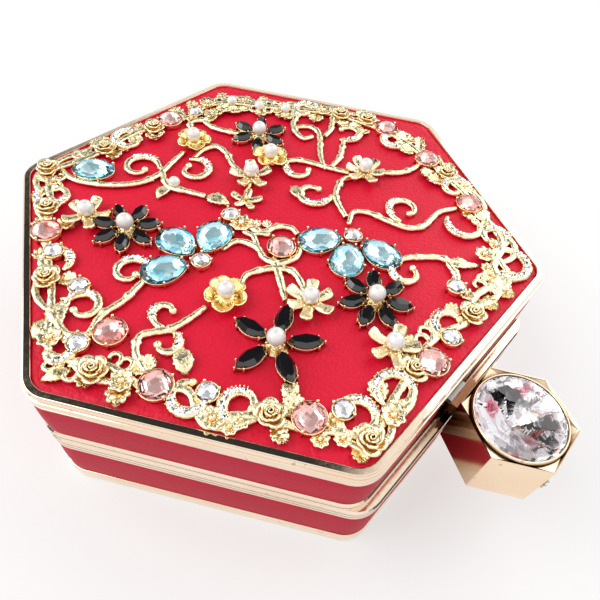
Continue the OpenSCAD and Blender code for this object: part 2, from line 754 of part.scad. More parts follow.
// Curls of the border, each with tiny stones
border_curl_shares = [
  [-1.02, 0.06, 0.06, 0.03, 60, -300], [-0.82, -0.38, 0.07, 0.05, 0, -330],
  [-0.72, -0.53, 0.075, 0.035, 210, -280], [-0.48, -0.83, 0.07, 0.05, 180, -330],
  [-0.31, -0.86, 0.075, 0.05, 180, -330], [0.07, -0.84, 0.075, 0.045, 240, -260],
  [0.53, -0.84, 0.095, 0.07, 150, 330], [0.63, -0.72, 0.06, 0.04, 250, 300],
  [0.79, -0.42, 0.075, 0.04, 300, 280], [-0.12, 0.90, 0.075, 0.05, 0, 330],
  [-0.60, 0.77, 0.07, 0.05, 90, 320], [-0.80, 0.43, 0.06, 0.045, 270, 330],
  [0.88, 0.02, 0.06, 0.035, 270, -300], [0.74, 0.51, 0.07, 0.04, 300, 300]];
// Stems of the vines, point by point
stem_shares = [
  [[-0.48, 0.90], [-0.48, 0.82], [-0.44, 0.74], [-0.37, 0.66], [-0.28, 0.60], [-0.18, 0.59],
   [-0.08, 0.62], [0.02, 0.65]],
  [[-0.14, 0.62], [-0.20, 0.50], [-0.16, 0.41], [-0.12, 0.33]],
  [[0.02, 0.58], [0.09, 0.60], [0.16, 0.58], [0.16, 0.50], [0.12, 0.41], [0.12, 0.33]],
  [[0.14, 0.72], [0.20, 0.82], [0.28, 0.79], [0.34, 0.85]],
  [[0.26, 0.79], [0.26, 0.70], [0.31, 0.60], [0.36, 0.54]],
  [[0.30, 0.28], [0.38, 0.24], [0.43, 0.15], [0.46, 0.08], [0.50, 0.00]],
  [[0.71, 0.57], [0.65, 0.50], [0.59, 0.46], [0.55, 0.40], [0.54, 0.34], [0.59, 0.32]],
  [[0.58, 0.44], [0.64, 0.39], [0.64, 0.33], [0.59, 0.27], [0.51, 0.20], [0.45, 0.13]],
  [[0.86, 0.40], [0.78, 0.35], [0.71, 0.30], [0.63, 0.28]],
  [[0.70, 0.20], [0.62, 0.15], [0.55, 0.11], [0.46, 0.09]],
  [[0.60, -0.08], [0.68, -0.16], [0.76, -0.19], [0.83, -0.19]],
  [[0.50, -0.04], [0.44, -0.01], [0.37, -0.03], [0.31, -0.07], [0.27, -0.13], [0.24, -0.19]],
  [[0.22, -0.22], [0.29, -0.19], [0.34, -0.24], [0.36, -0.33], [0.39, -0.42], [0.45, -0.46],
   [0.52, -0.46], [0.59, -0.46], [0.67, -0.50]],
  [[0.17, -0.50], [0.23, -0.52], [0.28, -0.56], [0.34, -0.62], [0.36, -0.68], [0.42, -0.76]],
  [[0.34, -0.66], [0.31, -0.72], [0.28, -0.75]],
  [[-0.91, 0.05], [-0.82, 0.09], [-0.74, 0.09], [-0.65, 0.11], [-0.58, 0.13]],
  [[-0.96, 0.16], [-0.93, 0.22], [-0.89, 0.23]],
  [[-0.94, 0.20], [-0.96, 0.14], [-0.95, 0.08], [-0.89, 0.04]],
  [[-0.86, -0.21], [-0.84, -0.13], [-0.79, -0.08], [-0.74, -0.10], [-0.69, -0.13], [-0.62, -0.14],
   [-0.53, -0.14]],
  [[-0.38, -0.16], [-0.32, -0.13], [-0.26, -0.15], [-0.20, -0.19], [-0.17, -0.25], [-0.20, -0.33],
   [-0.24, -0.38]],
  [[-0.28, 0.04], [-0.21, 0.03], [-0.18, -0.05], [-0.20, -0.12], [-0.17, -0.18], [-0.10, -0.20],
   [-0.04, -0.17]],
  [[-0.13, 0.11], [-0.10, 0.00], [-0.03, -0.02], [0.01, -0.07], [0.00, -0.12]],
  [[-0.17, -0.14], [-0.30, -0.33]]];
// Stem that threads the border's flowers together
border_stem_shares = [
  [-1.05, 0.08], [-1.00, -0.02], [-0.93, -0.12], [-0.90, -0.26], [-0.81, -0.36], [-0.83, -0.47],
  [-0.72, -0.58], [-0.66, -0.69], [-0.58, -0.80], [-0.50, -0.90], [-0.38, -0.88], [-0.25, -0.86],
  [-0.13, -0.84], [0.00, -0.84], [0.12, -0.88], [0.25, -0.84], [0.40, -0.86], [0.48, -0.80],
  [0.60, -0.78], [0.68, -0.69], [0.74, -0.56], [0.80, -0.45], [0.83, -0.34], [0.88, -0.20],
  [0.91, -0.08], [0.92, 0.08], [0.89, 0.22], [0.84, 0.36], [0.76, 0.48], [0.66, 0.60],
  [0.57, 0.71], [0.48, 0.82], [0.36, 0.88], [0.24, 0.86], [0.10, 0.89], [-0.05, 0.92],
  [-0.20, 0.91], [-0.35, 0.90], [-0.50, 0.92], [-0.58, 0.84], [-0.63, 0.74], [-0.72, 0.62],
  [-0.80, 0.49], [-0.85, 0.38], [-0.92, 0.26], [-0.99, 0.17], [-1.02, 0.14]];

// Smooth path through points
function spline_point(a, b, c, d, t) =
  0.5 * (2 * b + (c - a) * t + (2 * a - 5 * b + 4 * c - d) * t * t + (3 * b - a - 3 * c + d) * t * t * t);
function smooth(p, steps) = let (n = len(p)) concat(
  [for (i = [0:n - 2], k = [0:steps - 1])
    spline_point(p[max(i - 1, 0)], p[i], p[i + 1], p[min(i + 2, n - 1)], k / steps)], [p[n - 1]]);
function spiral(c, r0, r1, a0, sweep, steps) = [for (i = [0:steps])
  let (f = i / steps, r = r0 + (r1 - r0) * f, a = a0 + sweep * f) c + r * [cos(a), sin(a)]];

// Sections of a cast stem as [share of the width, share of the height]: ridged, and flat on top
ridged_shares = [[-0.42, 0], [0.42, 0], [0.5, 0.5], [0, 1], [-0.5, 0.5]];
flat_shares = [[-0.5, 0], [0.5, 0], [0.36, 1], [-0.36, 1]];

// Cast stem along a path, thinner towards its ends
module stem(path, w, h, end_share, section) {
  n = len(path) - 1;
  ring = len(section);
  pts = [for (i = [0:n])
    let (d = path[min(i + 1, n)] - path[max(i - 1, 0)], u = d / norm(d),
         s = end_share + (1 - end_share) * sin(180 * i / n))
    for (q = section)
      [path[i][0] - u[1] * q[0] * w * s, path[i][1] + u[0] * q[0] * w * s, panel_top + q[1] * h]];
  polyhedron(points = pts, faces = tube_faces(n, ring));
}

// Round bud that ends a curl
module bud(p, r) {
  stand(p, 0) cylinder(r1 = r, r2 = r * 0.55, h = stem_h * 1.1, $fn = 6);
}

module leaf(p, dir, size) {
  w = size * 0.25;
  stand(p, dir) hull() {
    linear_extrude(stem_h * 0.35)
      polygon([[0, 0], [size * 0.3, -w], [size * 0.7, -w * 0.8],
        [size, 0], [size * 0.7, w * 0.8], [size * 0.3, w]]);
    linear_extrude(stem_h) polygon([[size * 0.2, 0], [size * 0.45, -w * 0.15], [size * 0.7, 0]]);
  }
}

// Layer of n rounded lobes, narrower at its top
module lobes(n, r, notch, h, top) {
  linear_extrude(h, scale = top) polygon([for (k = [0:n - 1], q = [[-0.22, 1], [0.22, 1], [0.5, notch]])
    let (a = turn_of(n) * (k + q[0])) r * q[1] * [cos(a), sin(a)]]);
}

module rose(p, dir) {
  r = rose_r;
  h = stem_h;
  stand(p, dir) {
    lobes(5, r, 0.74, h, 0.92);
    translate([0, 0, h * 0.9]) rotate([0, 0, turn / 2]) lobes(3, r * 0.66, 0.7, h * 0.6, 0.85);
    translate([0, 0, h * 1.4]) cylinder(r1 = r * 0.3, r2 = r * 0.16, h = h * 0.6, $fn = 5);
  }
}

module daisy(p) {
  r = daisy_r;
  h = stem_h;
  stand(p, 0) {
    lobes(6, r, 0.6, h * 0.95, 0.8);
    translate([0, 0, h * 0.8]) cylinder(r1 = r * 0.36, r2 = r * 0.22, h = h * 0.6, $fn = 6);
  }
}

function turn_of(n) = 360 / n;

curl_steps = 8;
function curl_path(c) = spiral(at(c), c[2] * panel_r, c[3] * panel_r, c[4], c[5], curl_steps);
border_share = 0.95;
function on_border(q) = abs(q[0]) + abs(q[1]) > border_share;

module border_casting() {
  stem([for (p = border_stem_shares) at(p)], stem_w * 0.8, stem_h * 0.8, 1, flat_shares);
  for (c = border_curl_shares) {
    path = curl_path(c);
    stem(path, stem_w * 1.15, stem_h, 0.7, flat_shares);
    bud(path[curl_steps], stem_w * 0.6);
  }
  for (q = rose_shares) rose(at(q), q[2]);
  for (q = daisy_shares) daisy(at(q));
  for (q = leaf_shares) if (on_border(q)) leaf(at(q), q[2], q[3] * leaf_len);
}

module vine_casting() {
  for (s = stem_shares) stem(smooth([for (p = s) at(p)], 2), stem_w, stem_h, 0.7, ridged_shares);
  for (c = curl_shares) {
    path = curl_path(c);
    stem(path, stem_w, stem_h, 0.6, ridged_shares);
    bud(path[curl_steps], stem_w * 0.65);
  }
  for (q = leaf_shares) if (!on_border(q)) leaf(at(q), q[2], q[3] * leaf_len);
}

// Where the blue drops and the black petals stand: place, direction, length share
drop_start = clear_d / 2 + 2.6 * setting_wall;
function blue_drops() = [for (q = blue_cluster_shares, a = q[2])
  [at(q) + (drop_start + drop_len / 2) * [cos(a), sin(a)], a]];
function petals() = [for (q = black_flower_shares, k = [0:q[2] - 1])
  let (a = q[3] + turn_of(q[2]) * k)
  [at(q) + (petal_start + q[4] * petal_len / 2) * [cos(a), sin(a)], a, q[4]]];

// Stands its children on the panel at a place and in a direction
module stand(p, a) {
  translate([p[0], p[1], panel_top]) rotate([0, 0, a]) children();
}

// Room that the castings leave for everything set on the panel
module seats_cut() {
  g = stone_gap;
  w = setting_wall + g;
  translate([0, 0, panel_top - cut]) linear_extrude(cut + 2 * setting_h) {
    for (q = pink_shares) translate(at(q)) circle(r = pink_d / 2 + w, $fn = 16);
    for (q = clear_shares) translate(at(q)) circle(r = clear_d / 2 + w, $fn = 16);
    for (q = blue_drops()) translate(q[0]) rotate(q[1]) polygon(drop_outline(w));
    for (q = blue_oval_shares) translate(at(q)) rotate(q[2]) polygon(oval_outline(w));
    for (q = small_pearl_shares) translate(at(q)) circle(r = small_pearl_share * pearl_d / 2 + g, $fn = 12);
    for (q = cup_flower_shares) translate(at(q)) circle(r = cup_r * cup_foot_share + g, $fn = 12);
    for (q = finger_flower_shares) translate(at(q)) circle(r = finger_r * finger_foot_share + g, $fn = 12);
    for (q = black_flower_shares) translate(at(q)) circle(r = petal_start + w, $fn = 16);
    for (q = petals()) translate(q[0]) rotate(q[1]) polygon(petal_outline(w, q[2]));
  }
}
cup_foot_share = 0.5;
finger_foot_share = 0.4;

module border_garland() {
  color(gold) difference() {
    intersection() {
      border_casting();
      slab(rim_w + seam, clasp_setback, panel_top, case_h + rim_h);
    }
    seats_cut();
  }
}

module vine_scrolls() {
  color(gold) difference() {
    vine_casting();
    seats_cut();
    border_casting();
  }
}

// Outlines of the stones, grown outwards by g
function drop_outline(g) = let (r = drop_w / 2, n = 7) concat(
  [for (k = [-n:n]) let (a = 105 * k / n) [drop_len / 2 - r + (r + g) * cos(a), (r + g) * sin(a)]],
  [[-drop_len / 2 - 1.4 * g, 0]]);
function oval_outline(g) = let (n = 16) [for (k = [0:n - 1]) let (a = turn_of(n) * k)
  [(drop_len / 2 + g) * cos(a), (drop_w / 2 + g) * sin(a)]];
function petal_outline(g, size) = let (n = 3, l = size * petal_len / 2, w = sqrt(size) * petal_w / 2,
    r = (l * l + w * w) / (2 * w), a = asin(l / r))
  concat([for (k = [n - 1:-1:1 - n]) let (b = a * k / n) [(r + g) * sin(b), (r + g) * cos(b) - r + w]],
    [[-l - 1.5 * g, 0]],
    [for (k = [n - 1:-1:1 - n]) let (b = a * k / n) [-(r + g) * sin(b), -(r + g) * cos(b) + r - w]],
    [[l + 1.5 * g, 0]]);
function disc_outline(r, n) = [for (k = [0:n - 1]) r * [cos(360 * k / n), sin(360 * k / n)]];

// Metal cup with a pocket: outer and inner outline
module setting(outer, inner) {
  difference() {
    linear_extrude(setting_h) polygon(outer);
    translate([0, 0, floor_t]) linear_extrude(setting_h) polygon(inner);
  }
}

// Faceted stone over an outline: a straight girdle, a sloping crown and a smaller table
module stone(shape, low, girdle, top, table) {
  n = len(shape);
  levels = [[1, low], [1, girdle], [table, top]];
  pts = [for (q = levels, p = shape) [p[0] * q[0], p[1] * q[0], q[1]]];
  polyhedron(points = pts, faces = tube_faces(len(levels) - 1, n));
}

module round_stone(r, girdle, top, n) {
  stone(disc_outline(r, n), 0, girdle, girdle + top, 0.5);
}

floor_t = setting_h * 0.35;
stone_low = floor_t + seam / 2;

module blue_settings() {
  color(gold) {
    for (q = blue_drops()) stand(q[0], q[1])
      setting(drop_outline(setting_wall), drop_outline(stone_gap));
    for (q = blue_oval_shares) stand(at(q), q[2])
      setting(oval_outline(setting_wall), oval_outline(stone_gap));
  }
}

module blue_stones() {
  top = setting_h + crown_h;
  color("skyblue") {
    for (q = blue_drops()) stand(q[0], q[1]) stone(drop_outline(0), stone_low, setting_h, top, 0.5);
    for (q = blue_oval_shares) stand(at(q), q[2]) stone(oval_outline(0), stone_low, setting_h, top, 0.5);
  }
}

module round_setting(p, d) {
  stand(p, 0) setting(disc_outline(d / 2 + setting_wall, 24), disc_outline(d / 2 + stone_gap, 24));
}

module pink_settings() {
  color(gold) for (q = pink_shares) round_setting(at(q), pink_d);
}

module pink_stones() {
  color("lightpink") for (q = pink_shares) stand(at(q), 0)
    stone(disc_outline(pink_d / 2, 12), stone_low, setting_h, setting_h + crown_h, 0.5);
}

module clear_settings() {
  color(gold) for (q = clear_shares) round_setting(at(q), clear_d);
}

module clear_stones() {
  color("lightcyan") for (q = clear_shares) stand(at(q), 0)
    stone(disc_outline(clear_d / 2, 8), stone_low, setting_h, setting_h + crown_h * 0.7, 0.45);
}

module black_flower_settings() {
  color(gold) union() {
    for (q = black_flower_shares) stand(at(q), 0) {
      cylinder(r = petal_start + setting_wall, h = floor_t * 0.8);
      cylinder(r = petal_start - setting_wall, h = setting_h);
    }
    for (q = petals()) stand(q[0], q[1])
      setting(petal_outline(setting_wall * 0.7, q[2]), petal_outline(stone_gap, q[2]));
  }
}

module black_petals() {
  color("black") for (q = petals()) stand(q[0], q[1])
    stone(petal_outline(0, q[2]), stone_low, setting_h, setting_h + crown_h, 0.4);
}

// Open cup of rounded petals with a flat seat for its pearl
module cup_flowers() {
  r = cup_r;
  z = stem_h + 3 * seam;
  color(gold) for (q = cup_flower_shares) stand(at(q), 0) difference() {
    union() {
      cylinder(r = r * cup_foot_share, h = setting_h, $fn = 12);
      for (k = [0:4]) rotate([0, 0, turn_of(5) * k]) hull() {
        translate([r * 0.4, 0, z]) cylinder(r = r * 0.15, h = stem_h * 0.4, $fn = 6);
        translate([r * 0.65, 0, z + stem_h * 0.9]) cylinder(r = r * 0.36, h = stem_h * 0.35, $fn = 7);
      }
    }
    translate([0, 0, setting_h]) cylinder(r = pearl_d * 0.6, h = 3 * setting_h, $fn = 12);
  }
}

module finger_flowers() {
  r = finger_r;
  z = stem_h + 3 * seam;
  color(gold) for (q = finger_flower_shares) stand(at(q), q[2])
    union() {
      cylinder(r = r * finger_foot_share, h = setting_h, $fn = 12);
      for (k = [0:4]) rotate([0, 0, turn_of(5) * k]) hull() {
        translate([r * 0.45, 0, z]) cylinder(r = r * 0.1, h = stem_h * 0.4, $fn = 4);
        translate([r * 0.84, 0, z + stem_h / 4]) cylinder(r = r * 0.16, h = stem_h * 0.5, $fn = 6);
      }
    }
}

// Pearls are cut flat where they are glued to their seats
module pearl(r) {
  difference() {
    translate([0, 0, r * 0.9]) sphere(r = r);
    translate([-r - cut, -r - cut, -2 * r]) cube([2 * (r + cut), 2 * (r + cut), 2 * r]);
  }
}

module pearls() {
  r = pearl_d / 2;
  color("ivory") {
    for (q = concat(black_flower_shares, cup_flower_shares, finger_flower_shares))
      stand(at(q), 0) translate([0, 0, setting_h]) pearl(r);
    for (q = small_pearl_shares) stand(at(q), 0) pearl(small_pearl_share * r);
  }
}

// Tiny stones stand on the border's curls, clear of what is set or cast beside them
function clear_of(p, list, r) = min([for (q = list) norm(p - at(q))]) > r + tiny_d / 2;
function tiny_places() = [for (c = border_curl_shares, k = [2:2:curl_steps - 2])
  let (p = curl_path(c)[k], w = setting_wall + stone_gap)
  if (clear_of(p, pink_shares, pink_d / 2 + w) && clear_of(p, clear_shares, clear_d / 2 + w)
    && clear_of(p, rose_shares, rose_r) && clear_of(p, daisy_shares, daisy_r)
    && clear_of(p, small_pearl_shares, pearl_d / 2) && clear_of(p, finger_flower_shares, finger_r)
    && clear_of(p, [for (q = leaf_shares) [q[0], q[1]]], leaf_len * 0.8))
  p];

module tiny_stones() {
  color("lightcyan") for (q = tiny_places())
    stand(q, 0) translate([0, 0, stem_h])
      cylinder(r1 = tiny_d / 2, r2 = tiny_d / 4, h = tiny_d * 0.4, $fn = 6);
}

base_shell();
base_frame();
base_rim();
base_side_band();
base_panel();
base_lining();
catch_plate();
catch_rivets();
hinge_base_leaf();
hinge_base_rivets();
hinge_pin();
lid_shell();
lid_frame();
lid_rim();
lid_side_band();
lid_panel();
lid_lining();
hinge_lid_leaf();
hinge_lid_rivets();
slot_plate();
latch_bracket();
bracket_rivets();
latch_pin();
latch_spring();
latch_lever();
knob_screw();
knob_body();
knob_bezel();
knob_neck();
knob_crystal();
knob_side_settings();
knob_side_stones();
border_garland();
vine_scrolls();
cup_flowers();
finger_flowers();
pearls();
blue_settings();
blue_stones();
black_flower_settings();
black_petals();
pink_settings();
pink_stones();
clear_settings();
clear_stones();
tiny_stones();
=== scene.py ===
"""Looks of the hexagonal jewelled evening clutch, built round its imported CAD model."""

import math

import bmesh
import bpy
import numpy as np
from mathutils import Matrix, Vector


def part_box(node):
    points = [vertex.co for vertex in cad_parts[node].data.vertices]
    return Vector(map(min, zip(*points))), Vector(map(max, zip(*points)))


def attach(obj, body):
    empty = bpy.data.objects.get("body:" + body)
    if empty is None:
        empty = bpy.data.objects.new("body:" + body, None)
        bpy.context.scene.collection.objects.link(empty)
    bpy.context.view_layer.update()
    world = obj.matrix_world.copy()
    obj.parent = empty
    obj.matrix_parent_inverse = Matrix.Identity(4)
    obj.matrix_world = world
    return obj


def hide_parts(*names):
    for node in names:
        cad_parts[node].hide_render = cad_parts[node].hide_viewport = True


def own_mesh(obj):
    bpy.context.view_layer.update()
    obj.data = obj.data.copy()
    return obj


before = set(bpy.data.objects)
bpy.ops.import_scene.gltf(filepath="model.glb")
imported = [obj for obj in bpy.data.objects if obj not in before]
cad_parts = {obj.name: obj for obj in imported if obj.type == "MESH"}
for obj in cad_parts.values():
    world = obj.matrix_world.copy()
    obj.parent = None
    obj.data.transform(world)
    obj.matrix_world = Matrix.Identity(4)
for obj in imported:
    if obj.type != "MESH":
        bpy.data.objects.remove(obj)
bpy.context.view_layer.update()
MM = 0.001
TAU = 2 * math.pi

# Sizes of the case in millimetres, as in the CAD source
HALF, CORNER, SETBACK = 75.0, 9.0, 2.6
PARTING, LID_H = 25.6, 22.4
CASE_H = PARTING + LID_H
RIM_H, RIM_W, RIM_T, SKIRT = 4.7, 2.6, 1.5, 0.95
SEAM = 0.06
BAND_IN, LEATHER_T = 1.01, 0.9
LINING_IN, LINING_T = 3.53, 0.7
BASE_PANEL_IN, BASE_PANEL_T = 4.29, 1.0
BASE_BAND_Z, BASE_WALL_TOP, LID_WALL_Z = 1.06, 23.94, 27.26
BASE_LINING_Z, LID_LINING_TOP = 2.62, 44.88
PANEL_Z = CASE_H - RIM_T
PANEL_TOP = PANEL_Z + 0.85
PANEL_R = HALF - RIM_W
SLOT = (5.0, 29.3, 34.63)
STEM_W, STEM_H = 0.0276 * PANEL_R, 1.7
SETTING_H, CROWN_H, WALL = 2.2, 1.7, 0.6
STONE_LOW, UNDER_STONE = 0.8, 0.5
DROP_L, DROP_W = 0.18 * PANEL_R, 0.135 * PANEL_R
PETAL_L, PETAL_W, PETAL_START = 0.13 * PANEL_R, 0.065 * PANEL_R, 0.043 * PANEL_R
PEARL_D, PINK_D, CLEAR_D, TINY_D = 0.069 * PANEL_R, 0.11 * PANEL_R, 0.069 * PANEL_R, 0.025 * PANEL_R
ROSE_R, DAISY_R, LEAF_L = 0.047 * PANEL_R, 0.0415 * PANEL_R, 0.069 * PANEL_R
FINGER_R, CUP_R = 0.094 * PANEL_R, 0.088 * PANEL_R
DROP_START = CLEAR_D / 2 + 2.6 * WALL
KNOB_Y, KNOB_FLATS, KNOB_Z, KNOB_TOP = -89.1, 27.4, 20.2, 38.8
CRYSTAL_R, BEZEL_H, CRYSTAL_RISE = 12.3, 1.2, 3.6

# Sizes that only the looks have: the leather's flat part round the arm's plate, the run up to its padding
# and the padding, the spring's wire and turns, the spare height of a stone before it is cut, and how far a
# facet has to look up to count as the crown
PLATE_HALF, PAD_RUN, PAD = 7.3, 6.0, 0.85
SPRING_WIRE, SPRING_COILS = 0.4, 5
PRISM_SPARE, UPWARD = 9, 0.03

# Camera that was fitted to the photo, in degrees, metres and millimetres of lens, and the lamps as place,
# size and power
CAMERA_TURN, CAMERA_RISE, CAMERA_ROLL = -53.134, 50.958, 7.174
CAMERA_PLACE, CAMERA_LENS = (-0.0912, -0.0808, 0.1602), 31.16
LAMPS = {"key": ((-0.55, 0.60, 0.75), 1.1, 7.0), "fill": ((0.75, -0.15, 0.55), 0.9, 3.0)}
FLOOR_HALF, FLOOR_Z = 3.0, -0.0002

# Studio: direction of its dark cap, the cap's soft round edge and lower edge, how dark it is in metal and in
# glass, the dim band over the horizon, and the strength of the light all round
CAP, CAP_EDGE, CAP_FOOT = (0.28, 0.60, 0.75), (0.848, 0.866), (0.56, 0.58)
CAP_IN_METAL, CAP_IN_GLASS = 0.965, 0.52
HORIZON, AMBIENT = (0.13, 0.2), 0.60

# Place of the knob in metres, round which shade is painted into the gold where something stands near it
KNOB_SPOT = (0, -0.085, 0.032)

# Shares of the small castings beside the garland's stem, as limits of one random draw
RUFFLES, CURLETS, BERRIES, DAISY_FILL = 0.34, 0.70, 0.80, 0.93

# Places of the ornament as shares of the lid panel's radius, as in the CAD source
BLACK_FLOWERS = [
    (-0.50, 0.39, 7, -33, 0.74), (-0.47, -0.44, 5, 100, 1), (-0.05, -0.57, 7, 41, 0.78),
    (0.38, 0.50, 6, 100, 0.74)]
BLUE_CLUSTERS = [(-0.40, 0.04, (155, 91, 29)), (0.16, -0.29, (147, 209, 271))]
BLUE_OVALS = [(-0.38, 0.80, -53)]
PINKS = [
    (-0.85, 0.00), (-0.87, -0.28), (-0.60, -0.72), (-0.13, -0.89), (-0.11, -0.125),
    (0.73, -0.53), (0.87, -0.20), (0.93, 0.10), (-0.74, 0.59), (0.13, 0.89)]
CLEARS = [
    (-0.40, 0.04), (0.16, -0.29), (-0.81, 0.25), (-0.78, 0.47), (-0.955, 0.035), (-0.50, -0.78),
    (0.24, -0.76), (0.01, -0.88), (-0.77, -0.42), (0.27, 0.86), (-0.13, 0.16)]
CUPS = [(-0.45, -0.16), (0.10, 0.67), (0.29, 0.33)]
FINGERS = [
    (0.12, 0.29, 49), (-0.57, 0.56, -48), (-0.24, -0.40, 35), (-0.18, -0.75, 19), (0.55, -0.05, 0)]
SMALL_PEARLS = [(-0.17, 0.49), (0.49, 0.82), (0.57, 0.69), (0.66, 0.58)]
ROSES = [
    (-0.98, -0.09, 10), (-0.68, -0.62, 40), (-0.52, -0.91, 0), (-0.20, -0.86, 20), (0.17, -0.88, 0),
    (0.85, -0.33, 30), (0.92, 0.22, 0), (0.85, 0.35, 20), (0.03, 0.89, 0), (-0.25, 0.90, 30),
    (-0.52, 0.94, 10), (-0.66, 0.71, 40), (-0.87, 0.37, 0)]
DAISIES = [
    (-1.01, 0.12), (-0.94, -0.19), (-0.82, -0.50), (-0.40, -0.91), (0.49, -0.75), (0.38, 0.89),
    (0.80, 0.43)]
LEAVES = [
    (-1.03, -0.03, 160, 1.2), (-0.77, -0.31, 60, 1.5), (-0.87, -0.39, 240, 1.2), (-0.60, -0.63, 40, 1.3),
    (-0.76, -0.70, 220, 1.3), (-0.66, -0.77, 240, 1.2), (-0.19, -0.94, 200, 1.5), (0.33, -0.87, 0, 1.4),
    (0.43, -0.86, 320, 1.3), (0.69, -0.65, 60, 1.6), (0.935, -0.03, 92, 1.7), (-0.60, 0.84, 140, 1.5),
    (-0.57, 0.87, 80, 1.3), (-0.92, 0.25, 250, 1.5), (-0.97, 0.21, 210, 1.2), (-0.12, 0.33, 290, 1.5),
    (-0.20, 0.50, 200, 1.2), (0.22, 0.12, 250, 1.4), (0.35, -0.66, 300, 1.3), (0.27, 0.77, 20, 1.3)]
CURLS = [
    (-0.21, 0.69, 0.09, 0.035, -45, 320), (-0.04, 0.51, 0.085, 0.035, 60, -330),
    (0.34, 0.18, 0.075, 0.04, 100, 200), (0.755, 0.22, 0.075, 0.04, 190, 270),
    (0.25, 0.02, 0.085, 0.04, -50, -310), (0.48, -0.34, 0.085, 0.035, 200, -310),
    (0.60, -0.59, 0.085, 0.06, 100, 270), (0.165, -0.57, 0.07, 0.035, 80, 270),
    (-0.63, 0.19, 0.08, 0.03, -50, 330), (-0.85, 0.165, 0.07, 0.035, 130, -320),
    (-0.66, -0.06, 0.05, 0.03, 190, -220), (-0.74, -0.17, 0.05, 0.03, 20, -230)]
BORDER_CURLS = [
    (-1.02, 0.06, 0.06, 0.03, 60, -300), (-0.82, -0.38, 0.07, 0.05, 0, -330),
    (-0.72, -0.53, 0.075, 0.035, 210, -280), (-0.48, -0.83, 0.07, 0.05, 180, -330),
    (-0.31, -0.86, 0.075, 0.05, 180, -330), (0.07, -0.84, 0.075, 0.045, 240, -260),
    (0.53, -0.84, 0.095, 0.07, 150, 330), (0.63, -0.72, 0.06, 0.04, 250, 300),
    (0.79, -0.42, 0.075, 0.04, 300, 280), (-0.12, 0.90, 0.075, 0.05, 0, 330),
    (-0.60, 0.77, 0.07, 0.05, 90, 320), (-0.80, 0.43, 0.06, 0.045, 270, 330),
    (0.88, 0.02, 0.06, 0.035, 270, -300), (0.74, 0.51, 0.07, 0.04, 300, 300)]
STEMS = [
    [(-0.48, 0.90), (-0.48, 0.82), (-0.44, 0.74), (-0.37, 0.66), (-0.28, 0.60), (-0.18, 0.59), (-0.08, 0.62),
     (0.02, 0.65)],
    [(-0.14, 0.62), (-0.20, 0.50), (-0.16, 0.41), (-0.12, 0.33)],
    [(0.02, 0.58), (0.09, 0.60), (0.16, 0.58), (0.16, 0.50), (0.12, 0.41), (0.12, 0.33)],
    [(0.14, 0.72), (0.20, 0.82), (0.28, 0.79), (0.34, 0.85)],
    [(0.26, 0.79), (0.26, 0.70), (0.31, 0.60), (0.36, 0.54)],
    [(0.30, 0.28), (0.38, 0.24), (0.43, 0.15), (0.46, 0.08), (0.50, 0.00)],
    [(0.71, 0.57), (0.65, 0.50), (0.59, 0.46), (0.55, 0.40), (0.54, 0.34), (0.59, 0.32)],
    [(0.58, 0.44), (0.64, 0.39), (0.64, 0.33), (0.59, 0.27), (0.51, 0.20), (0.45, 0.13)],
    [(0.86, 0.40), (0.78, 0.35), (0.71, 0.30), (0.63, 0.28)],
    [(0.70, 0.20), (0.62, 0.15), (0.55, 0.11), (0.46, 0.09)],
    [(0.60, -0.08), (0.68, -0.16), (0.76, -0.19), (0.83, -0.19)],
    [(0.50, -0.04), (0.44, -0.01), (0.37, -0.03), (0.31, -0.07), (0.27, -0.13), (0.24, -0.19)],
    [(0.22, -0.22), (0.29, -0.19), (0.34, -0.24), (0.36, -0.33), (0.39, -0.42), (0.45, -0.46), (0.52, -0.46),
     (0.59, -0.46), (0.67, -0.50)],
    [(0.17, -0.50), (0.23, -0.52), (0.28, -0.56), (0.34, -0.62), (0.36, -0.68), (0.42, -0.76)],
    [(0.34, -0.66), (0.31, -0.72), (0.28, -0.75)],
    [(-0.91, 0.05), (-0.82, 0.09), (-0.74, 0.09), (-0.65, 0.11), (-0.58, 0.13)],
    [(-0.96, 0.16), (-0.93, 0.22), (-0.89, 0.23)],
    [(-0.94, 0.20), (-0.96, 0.14), (-0.95, 0.08), (-0.89, 0.04)],
    [(-0.86, -0.21), (-0.84, -0.13), (-0.79, -0.08), (-0.74, -0.10), (-0.69, -0.13), (-0.62, -0.14),
     (-0.53, -0.14)],
    [(-0.38, -0.16), (-0.32, -0.13), (-0.26, -0.15), (-0.20, -0.19), (-0.17, -0.25), (-0.20, -0.33),
     (-0.24, -0.38)],
    [(-0.28, 0.04), (-0.21, 0.03), (-0.18, -0.05), (-0.20, -0.12), (-0.17, -0.18), (-0.10, -0.20),
     (-0.04, -0.17)],
    [(-0.13, 0.11), (-0.10, 0.00), (-0.03, -0.02), (0.01, -0.07), (0.00, -0.12)],
    [(-0.17, -0.14), (-0.30, -0.33)]]
